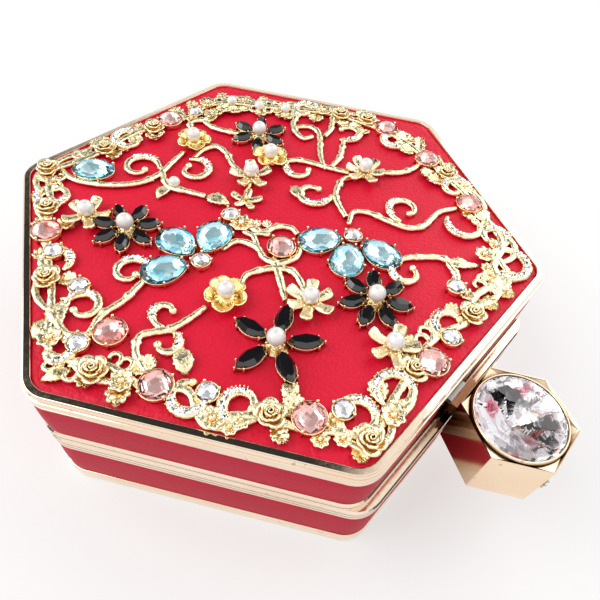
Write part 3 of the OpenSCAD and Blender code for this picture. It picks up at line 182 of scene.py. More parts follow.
BORDER_STEM = [
    (-1.05, 0.08), (-1.00, -0.02), (-0.93, -0.12), (-0.90, -0.26), (-0.81, -0.36), (-0.83, -0.47),
    (-0.72, -0.58), (-0.66, -0.69), (-0.58, -0.80), (-0.50, -0.90), (-0.38, -0.88), (-0.25, -0.86),
    (-0.13, -0.84), (0.00, -0.84), (0.12, -0.88), (0.25, -0.84), (0.40, -0.86), (0.48, -0.80),
    (0.60, -0.78), (0.68, -0.69), (0.74, -0.56), (0.80, -0.45), (0.83, -0.34), (0.88, -0.20),
    (0.91, -0.08), (0.92, 0.08), (0.89, 0.22), (0.84, 0.36), (0.76, 0.48), (0.66, 0.60),
    (0.57, 0.71), (0.48, 0.82), (0.36, 0.88), (0.24, 0.86), (0.10, 0.89), (-0.05, 0.92),
    (-0.20, 0.91), (-0.35, 0.90), (-0.50, 0.92), (-0.58, 0.84), (-0.63, 0.74), (-0.72, 0.62),
    (-0.80, 0.49), (-0.85, 0.38), (-0.92, 0.26), (-0.99, 0.17), (-1.02, 0.14)]

# Small ornament that the CAD source lacks
STAR, ROSETTE, CHIP_SPOTS = (-0.008, 0.192), (-0.134, 0.090), [(-0.083, 0.050), (-0.052, 0.018)]
LINKS = [
    [(0.09, 0.265), (0.045, 0.24), (0.0, 0.21), (-0.06, 0.19)],
    [(-0.12, 0.10), (-0.152, 0.05), (-0.145, 0.01), (-0.17, -0.05)],
    [(-0.145, 0.025), (-0.11, 0.0), (-0.085, -0.04)], [(-0.704, -0.035), (-0.713, -0.075), (-0.706, -0.118)]]

rng = np.random.default_rng(7)


# Points
def at(q):
    """Shares of the lid panel's radius as millimetres."""
    return np.array([q[0] * PANEL_R, q[1] * PANEL_R])


def unit(degrees):
    a = math.radians(degrees)
    return np.array([math.cos(a), math.sin(a)])


def heading(d):
    return math.degrees(math.atan2(d[1], d[0]))


def level(points, z):
    """Points of an outline with their height."""
    return np.column_stack([points, np.full(len(points), z)])


def turned(r, a, z):
    """Points from radii, angles in radians and heights."""
    return np.stack([r * np.cos(a), r * np.sin(a), z], -1)


def circle(n, r):
    a = np.arange(n) / n * TAU
    return np.stack([r * np.cos(a), r * np.sin(a)], 1)


def grid(u, v):
    return np.meshgrid(u, v, indexing="ij")


def spiral(c, r0, r1, a0, sweep, steps=26):
    f = np.linspace(0, 1, steps)
    r = r0 + (r1 - r0) * f
    a = np.radians(a0 + sweep * f)
    return np.stack([c[0] + r * np.cos(a), c[1] + r * np.sin(a)], 1)


def smooth_path(points, step):
    """Points at even steps along a smooth curve through the given ones, and its length."""
    p = np.array(points, float)
    q = np.concatenate([[2 * p[0] - p[1]], p, [2 * p[-1] - p[-2]]])
    out = []
    for i in range(len(p) - 1):
        a, b, c, d = q[i:i + 4]
        for t in np.arange(12) / 12:
            out.append(0.5 * (2 * b + (c - a) * t + (2 * a - 5 * b + 4 * c - d) * t * t
                              + (3 * b - a - 3 * c + d) * t ** 3))
    out = np.array(out + [p[-1]])
    run = np.concatenate([[0], np.cumsum(np.linalg.norm(np.diff(out, axis=0), axis=1))])
    even = np.linspace(0, run[-1], max(4, int(run[-1] / step) + 1))
    return np.stack([np.interp(even, run, out[:, k]) for k in (0, 1)], 1), run[-1]


# Meshes
class Shape:
    """Closed forms in millimetres, as vertices and faces."""

    def __init__(self, verts=(), faces=()):
        self.verts = [np.array(verts, float).reshape(-1, 3)] if len(verts) else []
        self.faces = [tuple(f) for f in faces]
        self.count = len(verts)

    def points(self):
        if len(self.verts) > 1:
            self.verts = [np.concatenate(self.verts)]
        return self.verts[0]

    def add(self, other, p=(0, 0), z=0.0, turn=0.0, size=1.0, tall=None):
        """Adds a copy of another shape, scaled, turned about Z in degrees and moved."""
        v = other.points() * np.array([size, size, size if tall is None else tall])
        c, s = unit(turn)
        v = np.stack([c * v[:, 0] - s * v[:, 1] + p[0], s * v[:, 0] + c * v[:, 1] + p[1], v[:, 2] + z], 1)
        self.verts.append(v)
        self.faces += [tuple(i + self.count for i in f) for f in other.faces]
        self.count += len(v)
        return self

    def add_ring(self, other, n, r, p=(0, 0), start=0.0, **how):
        """Adds n copies in a ring round a point, start being the first one's angle in radians."""
        for k in range(n):
            a = TAU * k / n + start
            self.add(other, (p[0] + r * math.cos(a), p[1] + r * math.sin(a)), **how)
        return self


def tube(rings, loop=False):
    """Closed skin through rings of points; an open tube gets end faces."""
    rings = np.array(rings, float)
    n, k = rings.shape[:2]
    faces = []
    for i in range(n if loop else n - 1):
        a, b = i * k, (i + 1) % n * k
        faces += [(a + j, b + j, b + (j + 1) % k, a + (j + 1) % k) for j in range(k)]
    if not loop:
        faces += [tuple(range(k)), tuple(range((n - 1) * k, n * k))[::-1]]
    return Shape(rings.reshape(-1, 3), faces)


def patch(top, thick):
    """Closed thin shell under a grid of points."""
    n, m = top.shape[:2]
    normal = np.cross(np.gradient(top, axis=0), np.gradient(top, axis=1))
    normal /= np.maximum(np.linalg.norm(normal, axis=2, keepdims=True), 1e-9)
    if normal[..., 2].mean() < 0:
        normal = -normal
    verts = np.concatenate([top.reshape(-1, 3), (top - normal * thick).reshape(-1, 3)])
    k = n * m
    faces = []
    for i in range(n - 1):
        for j in range(m - 1):
            q = (i * m + j, (i + 1) * m + j, (i + 1) * m + j + 1, i * m + j + 1)
            faces += [q, tuple(a + k for a in q[::-1])]
    edge = list(range(m)) + [i * m + m - 1 for i in range(1, n)]
    edge += [(n - 1) * m + j for j in range(m - 2, -1, -1)] + [i * m for i in range(n - 2, 0, -1)]
    faces += [(a, b, b + k, a + k) for a, b in zip(edge, edge[1:] + edge[:1])]
    return Shape(verts, faces)


def lathe(profile, n, flutes=0, depth=0.0, rise=0.0):
    """Turned form from [radius, height] points, with fluted edges where a number of flutes is given."""
    a = np.arange(n) / n * TAU
    reach = max(p[0] for p in profile)
    rings = []
    for r, z in profile:
        wave = np.cos(flutes * a) * (r / reach) ** 2
        rings.append(turned(r * (1 + depth * wave), a, z + rise * wave))
    return tube(rings)


def ball(r, n, rows, low=-0.96):
    t = np.linspace(math.asin(low), math.asin(0.96), rows)
    return lathe([(r * math.cos(q), r * math.sin(q)) for q in t], n)


def stem(points, w, h, ends=0.6, swell=0.0, phase=0.0, step=0.7, k=12, groove=0.06, knots=(), ridge=1.3):
    """Cast stem along a path, a little uneven, with a groove and rounded ends; its top is flat where the
    ridge is below 1, and knots are shares of its length."""
    path, length = smooth_path(points, step)
    tangent = np.gradient(path, axis=0)
    tangent /= np.linalg.norm(tangent, axis=1, keepdims=True)
    side = np.stack([-tangent[:, 1], tangent[:, 0]], 1)
    t = np.linspace(0, 1, len(path))
    run = t * length
    width = ends + (1 - ends) * np.sqrt(np.maximum(np.sin(np.pi * t), 0))
    width = width * (1 + swell * np.sin(np.pi * np.clip(t * 1.5, 0, 1)))
    width = width * (1 + 0.06 * np.sin(run * 1.7 + phase) + 0.04 * np.sin(run * 3.9 + 2 * phase))
    for q in knots:
        width = width * (1 + 0.32 * np.exp(-((run - q * length) / 0.55) ** 2))
    a = np.arange(k) / k * TAU
    cut = groove * np.exp(-(np.cos(a) / 0.34) ** 2) * (np.sin(a) > 0)
    across = np.sign(np.cos(a)) * np.abs(np.cos(a)) ** ridge * 0.5
    up = 0.5 + 0.5 * np.sign(np.sin(a)) * np.abs(np.sin(a)) ** ridge - cut
    rings = []
    for p, d, s in zip(path, side, width):
        rings.append(np.stack([p[0] + d[0] * across * w * s, p[1] + d[1] * across * w * s,
                               up * h * (0.45 + 0.55 * min(s, 1.3))], 1))
    caps = []
    for ring, end, sign in ((rings[0], 0, -1), (rings[-3], -1, 1)):
        mid = ring.mean(0)
        for q in (0.55, 0.85):
            cap = mid + (ring - mid) * math.sqrt(1 - q * q)
            cap[:, :2] += sign * tangent[end] * (w * width[end] * 0.45) * q
            caps.append(cap)
    return tube([caps[1], caps[0]] + rings + caps[2:])


def blade(length, width, rise, cup, thick, start, p, n, m, tip):
    """Petal along X: rounded outline, cupped across and rising along its length."""
    u = 0.5 - 0.5 * np.cos(np.linspace(0.0, np.pi, n))
    half = width / 2 * np.maximum(1 - np.abs(2 * u - 1) ** p, 0) ** (1 / p) + 0.04
    half *= 1 - tip * u
    U, V = grid(u, np.linspace(-1, 1, m))
    z = rise * U ** 1.6 + cup * V ** 2 * np.sin(np.pi * np.clip(U, 0.05, 1))
    return patch(np.stack([start + length * U, half[:, None] * V, z], 2), thick)


def rose_form():
    """Cast rose: three turns of upright petals round a rolled heart."""
    s = lathe([(0.1, 0), (ROSE_R * 0.8, 0), (ROSE_R * 0.92, 0.7), (ROSE_R * 0.5, 1.2), (0.1, 1.3)], 16)
    turns = [(5, 0.55, 1.12, 0.5, 1.9, 0), (4, 0.36, 0.74, 0.8, 2.8, 36), (3, 0.18, 0.42, 1.0, 3.3, 20)]
    for count, r0, r1, z0, z1, turn in turns:
        for j in range(count):
            A, V = grid(np.linspace(-0.62, 0.62, 7) * 360 / count, np.linspace(0, 1, 5))
            q = A / (0.62 * 360 / count)
            lobe = 1 + 0.10 * math.sin(2.4 * j + turn)
            r = ROSE_R * lobe * (r0 + (r1 - r0) * V ** 1.6 + 0.06 * V ** 6) * (1 - 0.24 * q ** 2 + 0.06 * q)
            z = z0 + (z1 - z0) * np.sin(V * 1.45) * (1 - 0.42 * q ** 2) + 0.18 * math.sin(3.1 * j)
            s.add(patch(turned(r, np.radians(A + turn + j * 360 / count), z), 0.34))
    r = ROSE_R * np.linspace(0.06, 0.24, 16)
    a = np.radians(np.linspace(0, 470, 16))
    return s.add(patch(np.array([turned(r, a, np.full(16, z)) for z in (1.0, 2.4, 3.2)]), 0.28))


def leaf_form():
    """Veined leaf of length 1 that bends up in the middle."""
    U, V = grid(np.linspace(0, 1, 15), np.linspace(-1, 1, 9))
    half = 0.30 * np.sin(np.pi * U ** 0.8) ** 0.8 * (1 + 0.09 * np.cos(U * 34)) + 0.012
    z = 0.20 + 0.16 * np.sin(np.pi * U) - 0.07 * np.abs(V) + 0.022 * np.cos((U - 0.35 * np.abs(V)) * 34)
    z = z - 0.045 * np.exp(-(V / 0.16) ** 2)
    return patch(np.stack([U, half * V, z], 2), 0.12)


def ruffle_form():
    """Ruffled leaf of length 1 with lobed edges, curling up at its sides and tip."""
    U, V = grid(np.linspace(0, 1, 17), np.linspace(-1, 1, 9))
    long = 0.36 * np.sin(np.pi * np.clip(U * 0.94 + 0.04, 0, 1)) ** 0.7
    half = long * (1 + 0.26 * np.cos(U * 24) * np.abs(V)) + 0.02
    z = 0.16 + 0.22 * U ** 2 + 0.16 * V ** 2 * np.sin(np.pi * U) + 0.035 * np.cos((U - 0.3 * np.abs(V)) * 24)
    z = z - 0.06 * np.exp(-(V / 0.15) ** 2)
    return patch(np.stack([U, half * V, z], 2), 0.13)


def daisy_form():
    """Fluted round flower with a domed centre."""
    r = DAISY_R
    s = lathe([(0.1, 0), (r * 0.55, 0), (r * 0.98, 1.15), (r, 1.4), (r * 0.8, 1.42), (r * 0.5, 1.15),
               (r * 0.3, 1.0), (0.1, 1.0)], 48, 8, 0.10, 0.16)
    s.add(ball(r * 0.3, 10, 6), z=1.25)
    return s.add_ring(ball(0.26, 6, 4), 8, r * 0.42, z=1.3)


def cup_flower_form():
    """Open cup of five rounded petals round a ring of beads."""
    r = CUP_R
    half = 38
    s = lathe([(0.1, 0), (r * 0.5, 0), (r * 0.55, 0.9), (r * 0.46, SETTING_H - 0.2), (0.1, SETTING_H)], 20)
    for j in range(5):
        A, V = grid(np.linspace(-half, half, 11), np.linspace(0, 1, 9))
        q = A / half
        reach = 0.98 * np.sqrt(np.maximum(1 - 0.52 * np.abs(q) ** 2.6, 0)) * (1 + 0.05 * math.sin(2.6 * j))
        z = (0.9 + 2.6 * V ** 1.5 - 0.7 * V ** 6 + 0.7 * q ** 2 * V + (0.3 if j % 2 else 0)
             - 0.3 * np.exp(-(q / 0.2) ** 2) * V)
        s.add(patch(turned(r * (0.30 + (reach - 0.30) * V), np.radians(A + 72 * j), z), 0.42))
    return s.add_ring(ball(0.36, 6, 4), 14, r * 0.47, z=2.25)


def finger_flower_form(fingers):
    """Flower of blunt spoon-shaped fingers round a beaded seat."""
    r = FINGER_R
    s = lathe([(0.1, 0), (r * 0.4, 0), (r * 0.44, 1.2), (r * 0.36, SETTING_H - 0.1), (0.1, SETTING_H)], 16)
    for j in range(fingers):
        long = 0.76 + 0.06 * math.sin(j * 2.3)
        one = blade(r * long, r * 0.40, rise=1.1, cup=-0.7, thick=1.1, start=r * 0.24, p=3.4, n=12, m=9,
                    tip=-0.55)
        s.add(one, z=2.35, turn=360 / fingers * j + 5 * math.sin(j * 1.7))
    return s.add_ring(ball(0.42, 6, 4), 12, r * 0.37, z=2.2)


def prong(height, r=0.42):
    s = tube([level(circle(6, q), z) for q, z in ((0.34, 0.2), (0.26, height * 0.6), (0.28, height))])
    return s.add(ball(r, 8, 5), z=height)


# Cut stones
def cut_stone(outline, low, girdle, crown, back=()):
    """Prism over an outline, cut by planes of [point, normal] into flat facets."""
    bm = bmesh.new()
    bottom, top = [[bm.verts.new((x, y, z)) for x, y in outline] for z in (low, girdle + PRISM_SPARE)]
    n = len(outline)
    bm.faces.new(bottom[::-1])
    bm.faces.new(top)
    for i in range(n):
        bm.faces.new((bottom[i], bottom[(i + 1) % n], top[(i + 1) % n], top[i]))
    for co, no in list(crown) + list(back):
        geom = bm.verts[:] + bm.edges[:] + bm.faces[:]
        got = bmesh.ops.bisect_plane(bm, geom=geom, dist=1e-5, plane_co=co, plane_no=no, clear_outer=True)
        edges = [e for e in got["geom_cut"] if isinstance(e, bmesh.types.BMEdge)]
        if len(edges) > 2:
            bmesh.ops.edgeloop_fill(bm, edges=edges)
    bmesh.ops.remove_doubles(bm, verts=bm.verts[:], dist=1e-4)
    bmesh.ops.recalc_face_normals(bm, faces=bm.faces[:])
    bm.verts.index_update()
    shape = Shape([tuple(v.co) for v in bm.verts], [tuple(v.index for v in f.verts) for f in bm.faces])
    bm.free()
    return shape


def flat_top(z):
    return [((0, 0, z), Vector((0, 0, 1)))]


def dome_planes(a, b, girdle, rise, pitch):
    """Planes of a chequer cut: they touch a dome above a diamond lattice."""
    planes = []
    count = int(max(a, b) * 1.5 / pitch) + 1
    diagonal = 0.7071
    for i in range(-count, count + 1):
        for j in range(-count, count + 1):
            x, y = (i + j) * pitch * diagonal, (i - j) * pitch * diagonal
            if (x / a) ** 2 + (y / b) ** 2 <= 1.2:
                z = girdle + rise * (1 - (x / a) ** 2 - (y / b) ** 2)
                normal = Vector((2 * rise * x / a ** 2, 2 * rise * y / b ** 2, 1)).normalized()
                planes.append(((x, y, z), normal))
    return planes


def ring_planes(n, r, z, slope, start=0.0, long=1.0, down=False):
    """Planes of n facets through a ring at height z that slope outwards, on the crown or on the back."""
    up, out = math.cos(math.radians(slope)) * (-1 if down else 1), math.sin(math.radians(slope))
    planes = []
    for j in range(n):
        a = TAU * (j + start) / n
        normal = Vector((math.cos(a) * out / long, math.sin(a) * out, up)).normalized()
        planes.append(((r * long * math.cos(a), r * math.sin(a), z), normal))
    return planes


def back_planes(*rings):
    return [plane for ring in rings for plane in ring_planes(*ring, down=True)]


def drop_outline(grow=0.0):
    """Pear shape with its soft tip towards -X."""
    t = (np.arange(34) + 0.5) / 34 * TAU
    y = np.sin(t) * np.sin(t / 2) ** 0.42
    y = y / np.abs(y).max() * (DROP_W / 2 + grow)
    return list(zip(-np.cos(t) * (DROP_L / 2 + grow), -y))


def oval_outline(grow=0.0):
    turn = np.arange(28) / 28 * TAU
    return [((DROP_L / 2 + grow) * math.cos(a), (DROP_W / 2 + grow) * math.sin(a)) for a in turn]


def petal_half(size):
    """Half length and half width of a black petal."""
    return size * PETAL_L / 2, math.sqrt(size) * PETAL_W / 2


def petal_outline(size, grow=0.0, n=6):
    l, w = petal_half(size)
    r = (l * l + w * w) / (2 * w)
    a = math.asin(l / r)
    arc = [a * k / n for k in range(n - 1, -n, -1)]
    one = [((r + grow) * math.sin(b), (r + grow) * math.cos(b) - r + w) for b in arc]
    return one + [(-l - 1.2 * grow, 0)] + [(-x, -y) for x, y in one] + [(l + 1.2 * grow, 0)]


def rim_of(outline_of, levels):
    """Cup wall from [growth, height] levels round an outline."""
    return tube([level(outline_of(g), z) for g, z in levels])


# Materials
class Nodes:
    """Small helper that builds nodes in one tree."""

    def __init__(self, tree):
        self.tree = tree
        tree.nodes.clear()

    def node(self, kind, inputs=None, **settings):
        n = self.tree.nodes.new(kind)
        for key, value in settings.items():
            setattr(n, key, value)
        for key, value in (inputs or {}).items():
            socket = n.inputs[key]
            if isinstance(value, bpy.types.NodeSocket):
                self.tree.links.new(value, socket)
            elif socket.type == "RGBA":
                socket.default_value = (*value, 1)
            else:
                socket.default_value = value
        return n

    def span(self, fac, low, high, a=0.0, b=1.0):
        """Maps a to low and b to high, and keeps what lies beyond them there."""
        ins = {"Value": fac, "From Min": a, "From Max": b, "To Min": low, "To Max": high}
        return self.node("ShaderNodeMapRange", ins).outputs["Result"]

    def math(self, op, a, b=0.0):
        return self.node("ShaderNodeMath", {0: a, 1: b}, operation=op).outputs[0]

    def times(self, a, b):
        return self.math("MULTIPLY", a, b)

    def plus(self, a, b):
        return self.math("ADD", a, b)

    def vector(self, op, a, b=None, out="Vector"):
        ins = {0: a} if b is None else {0: a, 1: b}
        return self.node("ShaderNodeVectorMath", ins, operation=op).outputs[out]

    def mix_shaders(self, fac, first, second):
        return self.node("ShaderNodeMixShader", {0: fac, 1: first, 2: second}).outputs[0]

    def light(self, kind, strength):
        return self.node(kind, {"Color": (1, 1, 1), "Strength": strength}).outputs[0]


class Look(Nodes):
    """One node material."""

    def __init__(self, name):
        self.mat = bpy.data.materials.new(name)
        self.mat.use_nodes = True
        super().__init__(self.mat.node_tree)
        self.place = self.node("ShaderNodeTexCoord").outputs["Object"]

    def noise(self, scale, detail=3.0, rough=0.5, stretch=None):
        place = self.place
        if stretch:
            place = self.node("ShaderNodeMapping", {"Vector": place, "Scale": stretch}).outputs[0]
        ins = {"Vector": place, "Scale": scale, "Detail": detail, "Roughness": rough}
        return self.node("ShaderNodeTexNoise", ins).outputs["Fac"]

    def cells(self, scale, out="Distance"):
        return self.node("ShaderNodeTexVoronoi", {"Vector": self.place, "Scale": scale}).outputs[out]

    def open_sky(self, reach, samples):
        return self.node("ShaderNodeAmbientOcclusion", {"Distance": reach}, samples=samples).outputs["AO"]

    def mix(self, fac, a, b):
        return self.node("ShaderNodeMix", {"Factor": fac, 6: a, 7: b}, data_type="RGBA").outputs[2]

    def bump(self, height, strength, distance, normal=None):
        ins = {"Height": height, "Strength": strength, "Distance": distance}
        if normal:
            ins["Normal"] = normal
        return self.node("ShaderNodeBump", ins).outputs[0]

    def show(self, shader):
        self.node("ShaderNodeOutputMaterial", {"Surface": shader})
        return self.mat

    def surface(self, **inputs):
        names = {k.replace("_", " "): v for k, v in inputs.items()}
        return self.show(self.node("ShaderNodeBsdfPrincipled", names).outputs[0])

    def metal(self, tint, gloss, bump):
        return self.surface(Base_Color=tint, Metallic=1.0, Roughness=gloss, Normal=bump)


def leather(name, deep, bright, grain, rough, shine, streak=False):
    """Pebbled leather, streaked on the sides, or pleated where the top turns under the rim."""
    m = Look(name)
    pebble = m.cells(grain)
    fine = m.noise(grain * 2.6, 4.0)
    height = m.plus(m.times(pebble, 0.8), m.times(fine, 0.35))
    if streak:
        lines = m.noise(900, 3.0, stretch=(0.25, 0.25, 2.2))
        height = m.plus(m.times(height, 0.5), m.times(lines, 0.9))
    else:
        far = 0.0
        for a in (30, 90, 150):
            along = m.vector("DOT_PRODUCT", m.place, (*unit(a), 0), "Value")
            far = m.math("MAXIMUM", far, m.math("ABSOLUTE", along))
        near = m.span(far, 0.0, 1.0, 0.0660, 0.0705)
        height = m.plus(height, m.times(m.times(near, m.noise(420, 2.0)), 5.0))
    tint = m.mix(m.plus(m.times(m.noise(26, 3.0), 0.6), m.times(pebble, 0.35)), deep, bright)
    gloss = m.span(fine, rough - 0.07, rough + 0.10)
    bump = m.bump(height, 0.55, 0.00022)
    return m.surface(Base_Color=tint, Roughness=gloss, Specular_IOR_Level=shine, Normal=bump)


def polished_gold(name, tint, worn, rough, waves, near_shade):
    """Plated gold, with shade painted into its colour where something stands near it, within a radius of the
    knob; the last argument gives reach, colour and radius of this painted shade."""
    m = Look(name)
    reach, deep, radius = near_shade
    scratch = m.noise(700, 2.0, stretch=(1.0, 1.0, 14.0))
    haze = m.noise(60, 4.0)
    shade = m.mix(m.span(haze, 0.0, 0.8, 0.3, 0.75), tint, worn)
    gloss = m.span(m.times(scratch, haze), rough, rough + 0.10, 0.12, 0.5)
    specks = m.span(m.noise(520, 4.0), 0.0, 1.0, 0.66, 0.74)
    shade = m.mix(m.times(specks, 0.5), shade, (0.30, 0.16, 0.08))
    # Painted shade: the colour goes dark where ambient occlusion finds something near, within a radius of
    # the knob
    away = m.vector("DISTANCE", m.place, KNOB_SPOT, "Value")
    occluded_shade = m.span(m.open_sky(reach, 6), 1.0, 0.0, 0.45, 0.90)
    shade = m.mix(m.times(occluded_shade, m.span(away, 1.0, 0.0, radius * 0.6, radius)), shade, deep)
    return m.metal(shade, gloss, m.bump(m.noise(38, 2.0), waves, 0.0004, m.bump(scratch, 0.04, 0.0001)))


def cast_gold(name, high, hollow_shade_tint):
    """Cast gold, with shade painted into its colour: redder in its hollows and dark brown where it is most
    shut in.
    """
    m = Look(name)
    lumps = m.noise(560, 5.0, 0.6)
    pits = m.noise(1500, 2.0)
    curve = m.node("ShaderNodeNewGeometry").outputs["Pointiness"]
    # Painted shade: amber where the surface curves in or is shut in, dark brown where it is most shut in
    sky = m.open_sky(0.0024, 4)
    hollow_shade = m.times(m.span(curve, 1.0, 0.0, 0.42, 0.53), 0.7)
    tint = m.mix(m.math("MAXIMUM", m.span(sky, 1.0, 0.0, 0.2, 0.65), hollow_shade), high, hollow_shade_tint)
    tint = m.mix(m.span(sky, 0.8, 0.0, 0.05, 0.34), tint, (0.36, 0.17, 0.03))
    bump = m.bump(lumps, 0.85, 0.00045, m.bump(pits, 0.25, 0.00006))
    return m.metal(tint, m.span(pits, 0.08, 0.20), bump)


def clouded(name, noise, first, second, gloss, bump=None, stretch=None, **inputs):
    """Look whose colour, gloss and bump all follow one noise."""
    m = Look(name)
    fac = m.noise(*noise, stretch=stretch)
    if bump:
        inputs["Normal"] = m.bump(fac, *bump)
    return m.surface(Base_Color=m.mix(fac, first, second), Roughness=m.span(fac, *gloss), **inputs)


def glass(name, tint, veil):
    """Cut glass of a stone's crown: tinted, and very slightly clouded."""
    return clouded(name, (240, 3.0), tint, veil, (0.0, 0.015), Transmission_Weight=1.0, IOR=1.56)


def foil(name, tint, dark, cell, tilt, soft=0.02, edge=None, painted_reflection=None):
    """Mirrored back of a stone, uneven from facet to facet; an edge colour is painted in as deeper shade
    towards the girdle, and a few spots get a painted reflection in the given colour."""
    m = Look(name)
    colour = m.cells(cell, "Color")
    away = m.vector("SUBTRACT", colour, (0.5, 0.5, 0.5))
    away = m.node("ShaderNodeVectorMath", {0: away, "Scale": tilt}, operation="SCALE").outputs[0]
    plain = m.node("ShaderNodeNewGeometry").outputs["Normal"]
    bent = m.vector("NORMALIZE", m.vector("ADD", plain, away))
    grey = m.node("ShaderNodeSeparateColor", {0: colour}).outputs[0]
    shade = m.mix(m.span(grey, 0.0, 1.0, 0.55, 0.95), tint, dark)
    # Painted reflection: a few spots get the given red colour
    if painted_reflection:
        reflection_spots = m.span(m.cells(90), 1.0, 0.0, 0.22, 0.30)
        shade = m.mix(m.times(reflection_spots, m.span(grey, 0.4, 1.0, 0.3, 0.5)), shade, painted_reflection)
    # Painted shade: the colour goes deeper towards the girdle
    if edge:
        height = m.node("ShaderNodeSeparateXYZ", {0: m.place}).outputs[2]
        low = (PANEL_TOP + STONE_LOW) * MM
        shade = m.mix(m.span(height, 0.0, 1.0, low + 0.0001, low + 0.0009), shade, edge)
    return m.metal(shade, m.span(grey, soft, soft + 0.1), bent)


def pearl():
    m = Look("pearl")
    cloud = m.noise(190, 3.0)
    # Painted sheen: the colour goes pinker where the surface turns away from view
    edge = m.node("ShaderNodeLayerWeight", {"Blend": 0.35}).outputs["Facing"]
    tint = m.mix(m.span(edge, 0.0, 0.7), (1.0, 0.97, 0.94), (0.99, 0.88, 0.85))
    tint = m.mix(m.span(cloud, 0.0, 0.25), tint, (1.0, 0.96, 0.93))
    return m.surface(Base_Color=tint, Roughness=m.span(cloud, 0.12, 0.2), Specular_IOR_Level=1.0,
                     Coat_Weight=1.0, Coat_IOR=2.2, Coat_Roughness=0.08, Sheen_Weight=0.4,
                     Normal=m.bump(cloud, 0.05, 0.0001))


def satin():
    m = Look("lining_satin")
    threads = {"Vector": m.place, "Scale": 900.0, "Distortion": 1.5}
    weave = m.node("ShaderNodeTexWave", threads).outputs["Fac"]
    cloud = m.noise(45, 3.0)
    tint = m.mix(cloud, (0.20, 0.007, 0.020), (0.36, 0.018, 0.045))
    bump = m.bump(weave, 0.25, 0.0001, m.bump(cloud, 0.4, 0.0012))
    return m.surface(Base_Color=tint, Roughness=m.span(cloud, 0.28, 0.42), Sheen_Weight=0.5,
                     Sheen_Roughness=0.3, Specular_IOR_Level=0.4, Normal=bump)


TOP_LEATHER = leather("panel_leather", (0.66, 0.002, 0.026), (0.88, 0.010, 0.050), 1150, 0.42, 0.28)
SIDE_LEATHER = leather("side_leather", (0.48, 0.006, 0.030), (0.63, 0.012, 0.046), 1300, 0.5, 0.14, True)
# The last tuple of each gold gives the painted shade near the knob: reach, colour and radius
RIM_GOLD = polished_gold("rim_gold", (0.96, 0.80, 0.64), (0.90, 0.68, 0.48), 0.06, 0.16,
                         (0.012, (0.22, 0.11, 0.055), 0.027))
KNOB_GOLD = polished_gold("knob_gold", (0.96, 0.76, 0.54), (0.90, 0.62, 0.40), 0.08, 0.12,
                          (0.020, (0.14, 0.06, 0.03), 0.06))
# The second colour of each cast gold is its painted shade in the hollows
CAST_GOLD = cast_gold("cast_gold", (1.0, 0.90, 0.60), (0.95, 0.56, 0.12))
CUP_GOLD = cast_gold("cup_gold", (1.0, 0.84, 0.40), (0.95, 0.55, 0.10))
STEEL = clouded("nickel_steel", (900, 3.0), (0.50, 0.49, 0.47), (0.68, 0.67, 0.64), (0.22, 0.40),
                (0.1, 0.0001), (1.0, 8.0, 1.0), Metallic=1.0)
BLUE = glass("blue_stone", (0.60, 0.92, 0.99), (0.70, 0.94, 0.99))
# The edge colours of these foils are painted deeper shade towards the girdle
BLUE_FOIL = foil("blue_foil", (0.97, 0.99, 1.0), (0.55, 0.86, 0.96), 300, 0.10, edge=(0.12, 0.66, 0.90))
PINK = glass("pink_stone", (0.99, 0.61, 0.57), (0.99, 0.70, 0.66))
PINK_FOIL = foil("pink_foil", (1.0, 0.92, 0.90), (0.97, 0.52, 0.48), 300, 0.12, edge=(0.98, 0.25, 0.20))
CLEAR = glass("clear_stone", (0.97, 0.97, 0.98), (0.95, 0.94, 0.96))
CLEAR_FOIL = foil("clear_foil", (0.98, 0.98, 0.99), (0.68, 0.64, 0.68), 700, 0.25, 0.03)
# The crystal's foil gets a painted reflection of red in a few spots
CRYSTAL_FOIL = foil("crystal_foil", (0.99, 0.98, 0.99), (0.68, 0.61, 0.64), 330, 0.12,
                    painted_reflection=(0.80, 0.24, 0.32))
CHIP = foil("tiny_foil", (0.98, 0.97, 0.96), (0.50, 0.46, 0.44), 1700, 0.9)
BLACK = clouded("black_stone", (160, 3.0), (0.004, 0.004, 0.005), (0.012, 0.011, 0.013), (0.03, 0.10),
                Specular_IOR_Level=0.7, Coat_Weight=0.6, Coat_Roughness=0.03)
PEARL = pearl()
SATIN = satin()
BOARD = clouded("shell_board", (300, 5.0, 0.6), (0.20, 0.09, 0.08), (0.30, 0.15, 0.12), (0.7, 0.9),
                (0.3, 0.0002))


# Pieces
def make(name, shape, material, body, slot, node, flat=False, z=0.0, back=None):
    """Turns a shape in millimetres into a piece that rides on a body and stands for a CAD node; a back
    material goes on the faces that look down."""
    verts = shape.points() * MM
    verts[:, 2] += z * MM
    mesh = bpy.data.meshes.new(name)
    mesh.from_pydata(verts.tolist(), [], shape.faces)
    mesh.validate()
    bm = bmesh.new()
    bm.from_mesh(mesh)
    bmesh.ops.recalc_face_normals(bm, faces=bm.faces[:])
    bm.to_mesh(mesh)
    bm.free()
    mesh.polygons.foreach_set("use_smooth", [not flat] * len(mesh.polygons))
    mesh.materials.append(material)
    if back:
        mesh.materials.append(back)
        mesh.polygons.foreach_set("material_index", [int(p.normal.z <= UPWARD) for p in mesh.polygons])
    piece = bpy.data.objects.new(name, mesh)
    bpy.context.scene.collection.objects.link(piece)
    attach(piece, body)
    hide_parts(node)
    return piece


def ornament(name, shape, material, slot, node, **how):
    make(name, shape, material, "lid", slot, node, z=PANEL_TOP, **how)


